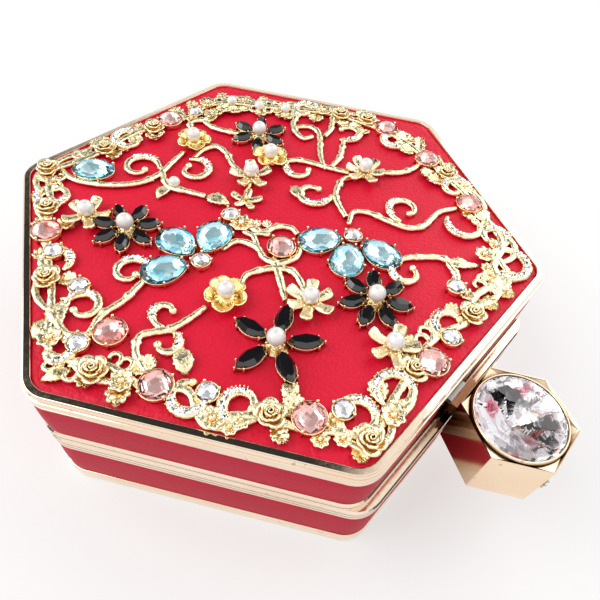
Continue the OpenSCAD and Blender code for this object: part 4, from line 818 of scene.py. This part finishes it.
def outline(inset, setback, steps=14, along=1):
    """Round-cornered hexagon, whose clasp side may stand back, as points round it; its long sides are
    parted into a number of steps."""
    out = []
    dist = [HALF - CORNER - (setback if i % 6 == 0 else 0) for i in range(7)]
    s60 = math.sin(math.pi / 3)
    for i in range(6):
        a, b = math.radians(-90 + 60 * i), math.radians(-30 + 60 * i)
        c = np.array([(dist[i] * math.sin(b) - dist[i + 1] * math.sin(a)) / s60,
                      (dist[i + 1] * math.cos(a) - dist[i] * math.cos(b)) / s60])
        for k in range(steps + 1):
            t = a + (b - a) * k / steps
            out.append(c + (CORNER - inset) * np.array([math.cos(t), math.sin(t)]))
    full = []
    for p, q in zip(out, out[1:] + out[:1]):
        count = along if np.linalg.norm(q - p) > CORNER else 1
        full += [p + (q - p) * k / count for k in range(count)]
    return np.array(full)


def rounded(corners, steps=4):
    """Closed profile with its corners [inset, height, radius] turned into small arcs."""
    out = []
    for i, corner in enumerate(corners):
        p = np.array(corner[:2], float)
        a = np.array(corners[i - 1][:2], float) - p
        b = np.array(corners[(i + 1) % len(corners)][:2], float) - p
        la, lb = np.linalg.norm(a), np.linalg.norm(b)
        r = min(corner[2], la * 0.45, lb * 0.45)
        p0, p1 = p + a / la * r, p + b / lb * r
        out.append(p + a / la * (r + 0.02))
        for t in (k / steps for k in range(steps + 1)):
            out.append((1 - t) ** 2 * p0 + 2 * t * (1 - t) * p + t * t * p1)
        out.append(p + b / lb * (r + 0.02))
    return out


def build_rims():
    def rim(name, body, node, profile, setback):
        rings = [level(outline(inset, setback), z) for inset, z in rounded(profile)]
        make(name, tube(rings, loop=True), RIM_GOLD, body, "gold_plate", node)

    z1 = CASE_H
    rim("lid_rim_polished", "lid", "lid_rim", [
        (0.0, z1 - RIM_H, 0.18), (0.0, z1 - RIM_H + 0.5, 0.1), (0.14, z1 - RIM_H + 0.56, 0.04),
        (0.14, z1 - RIM_H + 0.7, 0.04), (0.0, z1 - RIM_H + 0.78, 0.1), (0.0, z1 - 1.72, 0.05),
        (0.30, z1 - 1.66, 0.04), (0.34, z1 - 0.75, 0.3), (0.75, z1, 0.22), (RIM_W, z1, 0.25),
        (RIM_W, PANEL_Z, 0.05), (SKIRT, PANEL_Z, 0.1), (SKIRT, z1 - RIM_H, 0.18)], SETBACK)
    rim("base_rim_polished", "base", "base_rim", [
        (0.0, 0.0, 0.5), (0.0, RIM_H - 1.3, 0.12), (0.2, RIM_H - 1.15, 0.06), (0.05, RIM_H - 0.9, 0.08),
        (0.05, RIM_H, 0.25), (SKIRT, RIM_H, 0.25), (SKIRT, BASE_PANEL_T, 0.1),
        (BASE_PANEL_IN, BASE_PANEL_T, 0.1), (BASE_PANEL_IN, 0.0, 0.1)], 0)


def cut_window(skin, n, m, cols, rows):
    """Opens a window in a band with n points round it and m heights on each face, and lines its edges."""
    gone = {i * n + j for k in range(*rows) for j in range(*cols) for i in (k, 2 * m - 2 - k)}
    skin.faces = [f for k, f in enumerate(skin.faces) if k not in gone]

    def lining(i, j, i2, j2, flip):
        far, far2 = 2 * m - 1 - i, 2 * m - 1 - i2
        skin.faces.append((i * n + j, i2 * n + j2, far2 * n + j2, far * n + j)[::flip])

    for j in range(*cols):
        lining(rows[0], j, rows[0], j + 1, 1)
        lining(rows[1], j, rows[1], j + 1, -1)
    for i in range(*rows):
        lining(i, cols[0], i + 1, cols[0], -1)
        lining(i, cols[1], i + 1, cols[1], 1)


def band(name, node, body, setback, z0, z1, slot=None):
    """Leather ring that swells a little between the rims; a slot is [half width, low, high] at the clasp
    side, where the leather lies flat round the arm's plate."""
    heights = list(np.linspace(z0, z1, 9))
    if slot:
        heights = [z for z in heights if min(abs(z - slot[1]), abs(z - slot[2])) > 0.5]
        heights = sorted(heights + list(slot[1:]))
    m = len(heights)
    rings = []
    for z in heights + heights[::-1]:
        outer = len(rings) < m
        o = outline(BAND_IN if outer else BAND_IN + LEATHER_T, setback, 10, 12)
        if outer:
            h = min(max((z - z0) / (z1 - z0), 0.03), 0.97)
            flat = np.ones(len(o))
            if slot:
                run = np.clip((np.abs(o[:, 0]) - PLATE_HALF) / PAD_RUN, 0, 1)
                flat = np.where(o[:, 1] < o[:, 1].min() + 1, run, 1)
            swell = PAD * math.sin(math.pi * h) ** 0.7 * flat * flat * (3 - 2 * flat)
            o = o + o / np.linalg.norm(o, axis=1, keepdims=True) * swell[:, None]
        if slot:
            spots = [i for i in range(len(o)) if o[i, 1] < -HALF + SETBACK + 2.5 and abs(o[i, 0]) < 9]
            near = sorted(spots, key=lambda i: o[i, 0])
            for edge in (-slot[0], slot[0]):
                o[min(near, key=lambda i: abs(o[i, 0] - edge)), 0] = edge
        rings.append(level(o, z))
    skin = tube(rings, loop=True)
    if slot:
        back = 1000 * (o[:, 1] > 0)
        cols = [int(np.argmin(np.abs(o[:, 0] - edge) + back)) for edge in (-slot[0], slot[0])]
        cut_window(skin, len(o), m, cols, [heights.index(z) for z in slot[1:]])
    make(name, skin, SIDE_LEATHER, body, "red_leather", node)


def build_leather():
    # Nine draws, of which three are used, so that the later draws stay the same
    ripple = rng.random(9)[:3] * TAU
    o = outline(RIM_W + SEAM, SETBACK, 10, 26)
    a = np.arctan2(o[:, 1], o[:, 0])
    dip = sum(np.sin((23 + 14 * j) * a + ripple[j]) for j in range(3)) / 3
    rings = [level(o * 0.02, PANEL_Z), level(o, PANEL_Z)]
    for inset, drop in ((0.0, 0.34), (0.25, 0.20), (0.7, 0.10), (1.5, 0.04), (3.0, 0.0)):
        o = outline(RIM_W + SEAM + inset, SETBACK, 10, 26)
        rings.append(level(o, PANEL_TOP - drop * (1 + 0.45 * dip)))
    rings += [level(o * share, PANEL_TOP) for share in (0.85, 0.6, 0.35, 0.15, 0.02)]
    make("lid_panel_leather", tube(rings), TOP_LEATHER, "lid", "red_leather", "lid_panel")
    o = outline(BASE_PANEL_IN + SEAM, 0, 10, 4)
    steps = ((0.02, BASE_PANEL_T), (1.0, BASE_PANEL_T), (1.0, 0.12), (0.992, 0.0), (0.5, 0.0), (0.02, 0.0))
    rings = [level(o * share, z) for share, z in steps]
    make("base_panel_leather", tube(rings), SIDE_LEATHER, "base", "red_leather", "base_panel")
    band("base_side_leather", "base_side_band", "base", 0, BASE_BAND_Z, BASE_WALL_TOP)
    band("lid_side_leather", "lid_side_band", "lid", SETBACK, LID_WALL_Z, PANEL_Z - SEAM, SLOT)


def lining(name, node, body, setback, wall_z, floor_z, sign):
    """Satin tub: walls with soft upright folds, a rounded foot and a piped floor edge."""
    def ring(inset):
        return outline(LINING_IN + inset, setback, 10, 20)

    o = ring(0)
    a = np.arange(len(o)) / len(o) * TAU
    fold = 0.10 * np.sin(61 * a) * np.sin(9 * a + 1.0)
    rings = [level(o * 0.02, floor_z), level(o, floor_z), level(o, wall_z)]
    top = floor_z + sign * LINING_T
    for inset, z, soft in (
            (0.0, wall_z, 0.0), (0.15, wall_z - sign * 0.4, 0.3), (0.1, (wall_z + top) / 2, 1.0),
            (0.12, top + sign * 2.0, 0.8), (0.5, top + sign * 0.8, 0.3), (1.2, top + sign * 0.25, 0.1),
            (2.2, top + sign * 0.1, 0.0), (2.7, top + sign * 0.45, 0.0), (3.2, top + sign * 0.1, 0.0)):
        o = ring(LINING_T + inset)
        rings.append(level(o * (1 - fold[:, None] * soft / np.linalg.norm(o, axis=1, keepdims=True)), z))
    rings += [level(o * share, top + sign * 0.12 * (1 - share)) for share in (0.9, 0.6, 0.3, 0.02)]
    make(name, tube(rings), SATIN, body, "lining_satin", node)


def build_linings():
    lining("base_lining_satin", "base_lining", "base", 0, BASE_WALL_TOP, BASE_LINING_Z, 1)
    lining("lid_lining_satin", "lid_lining", "lid", SETBACK, LID_WALL_Z, LID_LINING_TOP, -1)


# Ornament
def blue_places():
    """Place and angle of each blue drop."""
    return [(at(q) + (DROP_START + DROP_L / 2) * unit(a), a) for q in BLUE_CLUSTERS for a in q[2]]


def petal_places():
    """Place, angle and size of each black petal."""
    out = []
    for q in BLACK_FLOWERS:
        for k in range(q[2]):
            a = q[3] + 360 / q[2] * k
            out.append((at(q) + (PETAL_START + q[4] * PETAL_L / 2) * unit(a), a, q[4]))
    return out


BLUE_SPOTS, PETAL_SPOTS, OVAL_SPOTS = blue_places(), petal_places(), [(at(q), q[2]) for q in BLUE_OVALS]

# Discs that the castings keep clear of, as place and radius
SEATS = [(at(q), PINK_D / 2 + 0.3) for q in PINKS] + [(at(q), CLEAR_D / 2 + 0.2) for q in CLEARS]
SEATS += [(at(q), PETAL_START) for q in BLACK_FLOWERS]
BLUE_SEATS = [(p, DROP_W / 2 + 0.4) for p, a in BLUE_SPOTS] + [(p, DROP_L / 2 + 0.3) for p, a in OVAL_SPOTS]
FLOWER_SEATS = [(at(q), ROSE_R * 0.8) for q in ROSES] + [(at(q), DAISY_R * 0.8) for q in DAISIES]
OPEN_CURLS = [(at(c), c[2] * PANEL_R * 0.62) for c in BORDER_CURLS]


def inside(p, margin):
    """True where a disc of a radius stays on the lid's panel."""
    for i in range(6):
        c, s = unit(-90 + 60 * i)
        if p[0] * c + p[1] * s > PANEL_R - (0 if i else SETBACK) - margin:
            return False
    return True


def clear_of(p, r, places):
    return all(np.linalg.norm(p - s) > q + r for s, q in places)


def sink(shape):
    """Lowers the castings that run under a stone, so that nothing sticks into its glass."""
    v = shape.points()
    discs = [(p, r, r, 0.0) for p, r in SEATS]
    discs += [(p, DROP_L / 2 + 0.2, DROP_W / 2 + 0.2, a) for p, a in BLUE_SPOTS + OVAL_SPOTS]
    discs += [(p, *petal_half(size), a) for p, a, size in PETAL_SPOTS]
    for p, long, wide, turn in discs:
        c, s = unit(turn)
        x, y = v[:, 0] - p[0], v[:, 1] - p[1]
        under = ((c * x + s * y) / long) ** 2 + ((c * y - s * x) / wide) ** 2 < 1
        v[under, 2] = np.minimum(v[under, 2], UNDER_STONE)


def add_garland(border):
    """Stem of the border, with a bowed rib at each step along it where there is room."""
    pts = [at(p) for p in BORDER_STEM]
    knots = np.linspace(0.02, 0.98, 18)
    border.add(stem(pts, STEM_W * 1.2, STEM_H, ends=0.9, groove=0.0, knots=knots, ridge=0.6))
    rail = smooth_path(pts, 1.0)[0]
    for q in np.arange(0.02, 0.97, 0.0264):
        start = int(q * len(rail))
        part = rail[start:start + 16]
        d = np.gradient(part, axis=0)
        d /= np.linalg.norm(d, axis=1, keepdims=True)
        out = np.stack([d[:, 1], -d[:, 0]], 1)
        for reach in (4.0, 3.2, 2.5):
            way = part + out * (reach * np.sin(np.linspace(0.1, np.pi - 0.1, len(part))) ** 0.7)[:, None]
            if all(inside(p, 1.1) for p in way) and all(clear_of(p, 0.2, SEATS) for p in way[::3]):
                border.add(stem(way[::3], STEM_W * 1.05, STEM_H * 0.9, ends=0.7, groove=0.0, ridge=0.5))
                break


def add_curls(border, vines, tiny, chip, bead):
    """Curls with a ball at their ends, and with chips between small beads on their outer parts."""
    kinds = [(border, 1.35, 1.0, 0.66)] * len(BORDER_CURLS) + [(vines, 1.22, 1.3, 0.4)] * len(CURLS)
    for i, (c, (target, wide, ridge, part)) in enumerate(zip(BORDER_CURLS + CURLS, kinds)):
        wide *= STEM_W
        path = spiral(at(c), c[2] * PANEL_R, c[3] * PANEL_R, c[4], c[5])
        target.add(stem(path, wide, STEM_H * 1.15, ends=0.55, swell=0.22, phase=i, groove=0.12, ridge=ridge))
        target.add(ball(STEM_W * 0.62, 10, 6), path[-1], z=STEM_H * 0.6)
        step = max(1, int(1.75 / np.linalg.norm(path[1] - path[0])))
        for j in range(3, int(len(path) * part), step):
            if clear_of(path[j], 0.5, SEATS):
                tiny.add(chip, path[j], z=STEM_H, turn=j * 17)
                d = path[j + 1] - path[j - 1]
                side = np.array([-d[1], d[0]]) / np.linalg.norm(d)
                for sign in (-1, 1):
                    target.add(bead, path[j] + sign * side * wide * 0.46, z=STEM_H * 0.9, size=0.8)


def add_stems(vines):
    """Stems with knots, and with two spurs on the longer ones."""
    spur = [(0, 0), (1.0, 0.1), (1.9, 0.5)]
    spur = stem(spur, STEM_W * 0.6, STEM_H * 0.8, ends=0.3, step=0.5, k=8, groove=0)
    for i, s in enumerate(STEMS):
        pts = [at(p) for p in s]
        knots = (0.3, 0.62) if len(s) > 3 else (0.5,)
        vines.add(stem(pts, STEM_W * 1.22, STEM_H * 1.1, ends=0.7, phase=i * 1.3, knots=knots))
        path = smooth_path(pts, 0.7)[0]
        for q, turn in ((0.3, 50), (0.62, -50)) if len(s) > 4 else ():
            j = int(q * len(path))
            vines.add(spur, path[j], turn=heading(path[j + 1] - path[j - 1]) + turn)


def fill_garland(border, bead, daisy):
    """Small castings on both sides of the garland's stem, chosen by random draws."""
    ruffle = ruffle_form()
    stones = SEATS + BLUE_SEATS
    path = smooth_path([at(p) for p in BORDER_STEM], 2.7)[0]
    for j in range(1, len(path) - 1):
        d = path[j + 1] - path[j - 1]
        a = heading(d)
        side = np.array([-d[1], d[0]]) / np.linalg.norm(d)
        for sign in (-1, 1):
            kind, turn, reach, size = rng.random(4)
            p = path[j] + side * sign * (1.4 + 1.4 * reach)
            if not (clear_of(p, 0.6, stones) and clear_of(p, 0.4, OPEN_CURLS) and inside(p, 1.6)):
                continue
            if kind < RUFFLES:
                long = 4.2 + 2.2 * size
                lean = a + sign * (35 + 50 * turn)
                tip = p + long * unit(lean)
                if inside(tip, 0.4) and clear_of(tip, 0.2, stones + OPEN_CURLS):
                    border.add(ruffle, p, turn=lean, size=long, tall=long * 0.85)
            elif kind < CURLETS:
                c = p + side * sign * 0.8
                if inside(c, 3.2) and clear_of(c, 2.4, stones + FLOWER_SEATS):
                    curl = spiral(c, 2.5, 1.1, a - sign * 120, sign * 330, 16)
                    border.add(stem(curl, 1.5, 1.9, ends=0.6, step=0.55, k=8, groove=0.15))
            elif kind < BERRIES and sign < 0 and inside(p, 6):
                border.add(stem([path[j], (path[j] + p) / 2, p], 1.3, 1.3, step=0.5, k=8))
                border.add_ring(bead, 5, 0.75, p, turn, z=1.0, size=0.9)
                border.add(bead, p, z=1.5)
            elif clear_of(p, 2.0, FLOWER_SEATS) and kind < DAISY_FILL:
                border.add(daisy, p, turn=turn * 45, size=0.72, tall=1.1)


def build_castings():
    rose, leaf, daisy = rose_form(), leaf_form(), daisy_form()
    small_bead, bead = ball(0.36, 7, 4), ball(0.6, 8, 5)
    crown = ring_planes(8, TINY_D / 2, 0.25, 38, 0.5) + flat_top(0.72)
    chip = cut_stone(circle(8, TINY_D / 2), 0.0, 0.25, crown)
    border, vines, tiny = Shape(), Shape(), Shape()
    add_garland(border)
    add_curls(border, vines, tiny, chip, small_bead)
    add_stems(vines)
    for q in ROSES:
        border.add(rose, at(q), z=0.7, turn=q[2])
    for q in DAISIES:
        border.add(daisy, at(q), z=0.8, turn=q[0] * 90)
    for q in LEAVES:
        size = q[3] * LEAF_L * 1.1
        while size > 2 and not inside(at(q) + unit(q[2]) * size, 0.4):
            size *= 0.9
        if size > q[3] * LEAF_L * 0.8:
            target = border if abs(q[0]) + abs(q[1]) > 0.95 else vines
            target.add(leaf, at(q), turn=q[2], size=size, tall=size * 0.75)
    # Links, star, rosette and chips beside the middle stones
    for pts in LINKS:
        vines.add(stem([at(p) for p in pts], STEM_W, STEM_H, ends=0.7, groove=0.1))
    ray = blade(4.4, 2.3, rise=0.7, cup=-0.5, thick=1.0, start=0.4, p=2.8, n=11, m=7, tip=-0.25)
    for j in range(5):
        vines.add(ray, at(STAR), z=1.3, turn=72 * j + 34, size=1 + 0.1 * math.sin(2.1 * j))
    vines.add(bead, at(STAR), z=2.1, size=1.2)
    vines.add(daisy, at(ROSETTE), z=0.2, turn=20, size=1.15, tall=1.35)
    vines.add_ring(small_bead, 9, 2.5, at(ROSETTE), z=1.9, size=1.3)
    for p in CHIP_SPOTS:
        vines.add(daisy, at(p), size=0.5, tall=1.0)
        tiny.add(chip, at(p), z=1.3)
    fill_garland(border, bead, daisy)
    sink(border)
    sink(vines)
    ornament("border_garland_cast", border, CAST_GOLD, "gold_plate", "border_garland")
    ornament("vine_scrolls_cast", vines, CAST_GOLD, "gold_plate", "vine_scrolls")
    ornament("tiny_stones_cut", tiny, CHIP, "clear_crystal", "tiny_stones", flat=True)


def build_flowers():
    cups, fingers, pearls = Shape(), Shape(), Shape()
    cup = cup_flower_form()
    five, six = finger_flower_form(5), finger_flower_form(6)
    for i, q in enumerate(CUPS):
        cups.add(cup, at(q), turn=25 * i)
    for i, q in enumerate(FINGERS):
        fingers.add(six if i in (2, 4) else five, at(q), turn=q[2])
    ornament("cup_flowers_cast", cups, CUP_GOLD, "gold_plate", "cup_flowers")
    ornament("finger_flowers_cast", fingers, CAST_GOLD, "gold_plate", "finger_flowers")
    r = PEARL_D / 2
    one = ball(r, 28, 16, low=-0.9)
    for q in BLACK_FLOWERS + CUPS + FINGERS:
        pearls.add(one, at(q), z=SETTING_H + r * 0.9)
    for q in SMALL_PEARLS:
        pearls.add(one, at(q), z=0.76 * r * 0.9, size=0.76)
    ornament("pearls_round", pearls, PEARL, "pearl", "pearls")


def round_cup(r, lip):
    """Round setting with four claws."""
    wall = ((-1.2, 0.0), (0.2, 0.0), (0.25, 0.5), (0.45, lip - 0.2), (0.42, lip), (0.1, lip), (0.0, 1.2),
            (-1.2, 0.6))
    s = tube([level(circle(28, r + g), z) for g, z in wall])
    return s.add_ring(prong(2.6, 0.45), 4, r + 0.42, start=TAU / 8)


def petal_forms(size):
    """Stone and setting of a black petal."""
    l, w = petal_half(size)
    planes = flat_top(SETTING_H + CROWN_H - 0.25)
    for k in range(8):
        b = TAU * (k + 0.5) / 8
        out = Vector((math.cos(b) / l, math.sin(b) / w, 0)).normalized()
        edge = (l * 0.98 * math.cos(b), w * 0.98 * math.sin(b), SETTING_H + 0.1)
        planes.append((edge, Vector((out.x * 0.80, out.y * 0.80, 0.6)).normalized()))
    stone = cut_stone(petal_outline(size), STONE_LOW, SETTING_H, planes)
    wall = ((-0.6, 0.0), (0.0, 0.0), (0.16, 1.6), (0.2, 1.9), (0.05, 1.95), (0.0, 1.0), (-0.6, 0.6))
    cup = rim_of(lambda g: petal_outline(size, g), wall)
    for p in ((l + 0.45, 0), (l * 0.72, w * 0.72), (l * 0.72, -w * 0.72), (-l * 0.75, w * 0.65),
              (-l * 0.75, -w * 0.65)):
        cup.add(prong(2.2, 0.34), p)
    return stone, cup


def build_stones():
    girdle = SETTING_H - 0.1
    blues, pinks, clears, blacks = [(Shape(), Shape()) for _ in range(4)]

    a, b = DROP_L / 2, DROP_W / 2
    belly = back_planes((12, b * 0.80, STONE_LOW + 0.35, 22, 0.5, a / b),
                        (6, b * 0.40, STONE_LOW, 9, 0.2, a / b))
    crown = dome_planes(a, b, girdle, CROWN_H + 0.1, 2.5)
    wall = ((-0.9, 0.0), (0.1, 0.0), (0.2, 0.5), (0.42, 1.6), (0.42, 1.75), (0.3, 1.8), (0.02, 0.9),
            (-0.9, 0.6))
    for outline_of, spots, gap in ((drop_outline, BLUE_SPOTS, 7), (oval_outline, OVAL_SPOTS, 5)):
        stone = cut_stone(outline_of(0.3), STONE_LOW, girdle, crown, belly)
        cup = rim_of(outline_of, wall)
        for p in outline_of(0.6)[3::gap]:
            cup.add(prong(2.5), p)
        for p, turn in spots:
            blues[0].add(stone, p, turn=turn)
            blues[1].add(cup, p, turn=turn)

    r = PINK_D / 2
    belly = back_planes((12, r * 0.86, STONE_LOW + 0.3, 26, 0.5), (6, r * 0.4, STONE_LOW, 8))
    crown = dome_planes(r, r, girdle + 0.1, CROWN_H, 2.0)
    stone = cut_stone(circle(24, r + 0.15), STONE_LOW, girdle, crown, belly)
    for i, q in enumerate(PINKS):
        pinks[0].add(stone, at(q), turn=i * 23)
        pinks[1].add(round_cup(r, 2.0), at(q), turn=i * 31)

    r = CLEAR_D / 2
    belly = back_planes((8, r * 0.85, STONE_LOW + 0.4, 24, 0.5), (4, r * 0.4, STONE_LOW + 0.1, 12))
    crown = ring_planes(8, r, SETTING_H, 40) + ring_planes(8, r * 0.8, SETTING_H + 0.55, 26, 0.5)
    stone = cut_stone(circle(16, r), STONE_LOW, SETTING_H, crown + flat_top(SETTING_H + 1.1), belly)
    for i, q in enumerate(CLEARS):
        clears[0].add(stone, at(q), turn=i * 13)
        clears[1].add(round_cup(r, 2.1), at(q), turn=i * 47)

    forms = {size: petal_forms(size) for size in {q[4] for q in BLACK_FLOWERS}}
    for p, turn, size in PETAL_SPOTS:
        blacks[0].add(forms[size][0], p, turn=turn)
        blacks[1].add(forms[size][1], p, turn=turn)
    s = PETAL_START
    seat = [(0.1, 0), (s + 0.6, 0), (s + 0.5, 0.6), (s - 0.6, 0.9), (s - 0.6, 2.0), (0.1, SETTING_H)]
    seat = lathe(seat, 20)
    seat.add_ring(ball(0.42, 7, 5), 10, 2.35, z=2.15)
    for q in BLACK_FLOWERS:
        blacks[1].add(seat, at(q))

    sets = {"blue": (blues, BLUE, BLUE_FOIL), "pink": (pinks, PINK, PINK_FOIL),
            "clear": (clears, CLEAR, CLEAR_FOIL)}
    for colour, (forms, look, back) in sets.items():
        names = [colour + end for end in ("_stones_cut", "_crystal", "_stones")]
        ornament(names[0], forms[0], look, names[1], names[2], flat=True, back=back)
    ornament("black_petals_cut", blacks[0], BLACK, "black_crystal", "black_petals", flat=True)
    for colour, (forms, look, back) in sets.items():
        ornament(colour + "_settings_clawed", forms[1], CAST_GOLD, "gold_plate", colour + "_settings")
    ornament("black_settings_clawed", blacks[1], CAST_GOLD, "gold_plate", "black_flower_settings")


# Clasp
def build_knob():
    """Pointed crystal over a mirrored back, its thin bezel, and the knob with a raised six-sided lip."""
    def part(name, shape, look, slot, node, **how):
        make(name, Shape().add(shape, (0, KNOB_Y)), look, "latch", slot, node, **how)

    r = CRYSTAL_R
    girdle = KNOB_TOP + BEZEL_H * 0.6
    slope = math.degrees(math.atan(CRYSTAL_RISE * 0.84 / (r * 0.94)))
    crown = ring_planes(16, r * 0.94, girdle + CRYSTAL_RISE * 0.16, slope)
    crown += ring_planes(32, r, girdle, 36, 0.5)
    back = back_planes((12, r, girdle - 0.3, 36, 0.25), (12, r, girdle - 0.3, 41, 0.75),
                       (32, r, girdle - 0.2, 52))
    crystal = cut_stone(circle(64, r), KNOB_TOP - 12.0, girdle, crown, back)
    part("knob_crystal_cut", crystal, CLEAR, "clear_crystal", "knob_crystal", flat=True, back=CRYSTAL_FOIL)
    z0, z1 = KNOB_Z, KNOB_TOP

    def hexagon(inset, z, soft=0.3):
        """Six-sided ring with softened corners."""
        out = []
        flat = KNOB_FLATS / 2 - inset
        corner = flat / math.cos(math.pi / 6)
        for k in range(6):
            for turn in (-soft, -soft / 3, soft / 3, soft):
                a = TAU * k / 6 + turn / corner
                reach = flat / max(math.cos(abs(turn) / corner - TAU / 12), 0.5)
                out.append((reach * math.cos(a), reach * math.sin(a), z))
        return np.array(out)

    def ring(radius, z):
        a = [TAU * k / 6 + t for k in range(6) for t in (-0.35, -0.12, 0.12, 0.35)]
        return np.array([(radius * math.cos(t), radius * math.sin(t), z) for t in a])

    rings = [hexagon(inset, z) for inset, z in (
        (1.6, z0), (0.25, z0), (0.07, z0 + 0.07), (0.0, z0 + 0.25), (0.0, z0 + 0.3), (0.0, z1 + 0.45),
        (0.0, z1 + 0.5), (0.05, z1 + 0.62), (0.2, z1 + 0.66), (0.34, z1 + 0.55), (0.36, z1 + 0.5))]
    bowl = ((13.05, 0.12), (12.4, 0.05), (12.34, -0.5), (3.0, -12.5))
    rings += [ring(radius, z1 + h) for radius, h in bowl]
    body = tube(rings + [hexagon(12, z0 + 1.6, 0.1)])
    part("knob_body_lipped", body, KNOB_GOLD, "gold_plate", "knob_body", flat=True)
    bezel = ((12.42, 0.0), (12.42, 0.9), (12.32, 1.0), (12.36, 1.16), (12.6, 1.24), (12.9, 1.1),
             (13.05, 0.75), (13.1, 0.0))
    bezel = tube([level(circle(72, radius), z1 + h) for radius, h in bezel], loop=True)
    part("knob_bezel_round", bezel, KNOB_GOLD, "gold_plate", "knob_bezel")


def build_spring():
    """Coil spring over the lever, built at its length at rest; on the clutch it shortens as the knob is
    lifted.
    """
    low, high = [np.array(p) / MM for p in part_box("latch_spring")]
    mid = (low + high) / 2
    wire = SPRING_WIRE / 2
    coil = (high[0] - low[0]) / 2 - wire
    t = np.linspace(0, 1, SPRING_COILS * 20 + 1)
    turns = TAU * SPRING_COILS * t
    rise = low[2] + wire + (high[2] - low[2] - 2 * wire) * t
    rings = []
    for b in np.arange(10) / 10 * TAU:
        rings.append(turned(coil + wire * math.cos(b), turns, rise + wire * math.sin(b)))
    shape = Shape().add(tube(np.stack(rings, 1)), mid)
    spring = make("latch_spring_coil", shape, STEEL, "lid", "steel", "latch_spring")
    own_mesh(spring)


def dress_nodes():
    """Puts looks on the nodes that keep their own shape."""
    looks = (
        (RIM_GOLD, ("base_frame", "lid_frame", "hinge_base_leaf", "hinge_lid_leaf", "hinge_base_rivets",
                    "hinge_lid_rivets", "slot_plate")),
        (KNOB_GOLD, ("knob_neck", "knob_side_settings")),
        (STEEL, ("catch_plate", "catch_rivets", "hinge_pin", "latch_bracket", "bracket_rivets", "latch_pin",
                 "latch_lever", "knob_screw")),
        (BOARD, ("base_shell", "lid_shell")),
        (CHIP, ("knob_side_stones",)))
    for look, names in looks:
        for name in names:
            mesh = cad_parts[name].data
            mesh.materials.clear()
            mesh.materials.append(look)


# Stage, light and camera
def build_stage():
    """White floor in a white studio with one dark cap, which the metal and the glass throw back."""
    mesh = bpy.data.meshes.new("floor")
    s = FLOOR_HALF
    mesh.from_pydata([(-s, -s, 0), (s, -s, 0), (s, s, 0), (-s, s, 0)], [], [(0, 1, 2, 3)])
    floor = bpy.data.objects.new("floor", mesh)
    floor.location.z = FLOOR_Z
    bpy.context.scene.collection.objects.link(floor)
    m = Look("floor_white")
    plain = {"Base Color": (0.96, 0.955, 0.955), "Roughness": 0.35, "Specular IOR Level": 0.3}
    base = m.node("ShaderNodeBsdfPrincipled", plain).outputs[0]
    ray = m.node("ShaderNodeLightPath").outputs
    seen = m.math("MAXIMUM", ray["Is Camera Ray"], ray["Is Glossy Ray"])
    seen = m.math("MAXIMUM", seen, ray["Is Transmission Ray"])
    share = m.span(m.vector("LENGTH", m.place, out="Value"), 0.5, 1.0, 0.14, 0.75)
    glow = m.light("ShaderNodeEmission", 1.0)
    mesh.materials.append(m.show(m.mix_shaders(m.times(seen, share), base, glow)))

    world = bpy.data.worlds.new("studio")
    bpy.context.scene.world = world
    world.use_nodes = True
    w = Nodes(world.node_tree)
    sky = w.node("ShaderNodeTexCoord").outputs["Generated"]
    ray = w.node("ShaderNodeLightPath").outputs
    height = w.node("ShaderNodeSeparateXYZ", {0: sky}).outputs
    cap = w.vector("DOT_PRODUCT", sky, Vector(CAP).normalized(), "Value")
    lean = w.plus(w.times(height[0], 0.06), height[2])
    cover = w.times(w.span(cap, 0.0, 1.0, *CAP_EDGE), w.span(lean, 0.0, 1.0, *CAP_FOOT))
    cover = w.times(cover, w.span(ray["Is Transmission Ray"], CAP_IN_METAL, CAP_IN_GLASS))
    shade = w.times(w.math("SUBTRACT", 1.0, cover), w.span(height[2], 0.1, 1.0, *HORIZON))
    mirror = w.math("MAXIMUM", ray["Is Glossy Ray"], ray["Is Transmission Ray"])
    ambient, studio, white = [w.light("ShaderNodeBackground", s) for s in (AMBIENT, shade, 1.0)]
    seen = w.mix_shaders(ray["Is Camera Ray"], w.mix_shaders(mirror, ambient, studio), white)
    w.node("ShaderNodeOutputWorld", {"Surface": seen})

    for name, (place, size, power) in LAMPS.items():
        data = bpy.data.lights.new(name, "AREA")
        data.shape = "DISK"
        data.size = size
        data.energy = power
        data.color = (1, 0.99, 0.97)
        lamp = bpy.data.objects.new(name, data)
        lamp.location = place
        lamp.rotation_mode = "QUATERNION"
        lamp.rotation_quaternion = Vector(place).to_track_quat("Z", "Y")
        bpy.context.scene.collection.objects.link(lamp)


def build_camera():
    data = bpy.data.cameras.new("camera")
    data.lens, data.sensor_width = CAMERA_LENS, 36.0
    data.clip_start, data.clip_end = 0.01, 20.0
    cam = bpy.data.objects.new("camera", data)
    az, el, roll = [math.radians(a) for a in (CAMERA_TURN, CAMERA_RISE, CAMERA_ROLL)]
    back = Vector((math.sin(az) * math.cos(el), -math.cos(az) * math.cos(el), math.sin(el)))
    right = (-back).cross(Vector((0, 0, 1))).normalized()
    up = right.cross(-back)
    side = math.cos(roll) * right + math.sin(roll) * up
    top = -math.sin(roll) * right + math.cos(roll) * up
    place = Matrix((side, top, back)).transposed().to_4x4()
    place.translation = Vector(CAMERA_PLACE)
    cam.matrix_world = place
    bpy.context.scene.collection.objects.link(cam)
    bpy.context.scene.camera = cam
    bpy.context.scene.view_settings.view_transform = "Standard"


build_camera()
build_stage()
dress_nodes()
build_rims()
build_leather()
build_linings()
build_castings()
build_flowers()
build_stones()
build_knob()
build_spring()
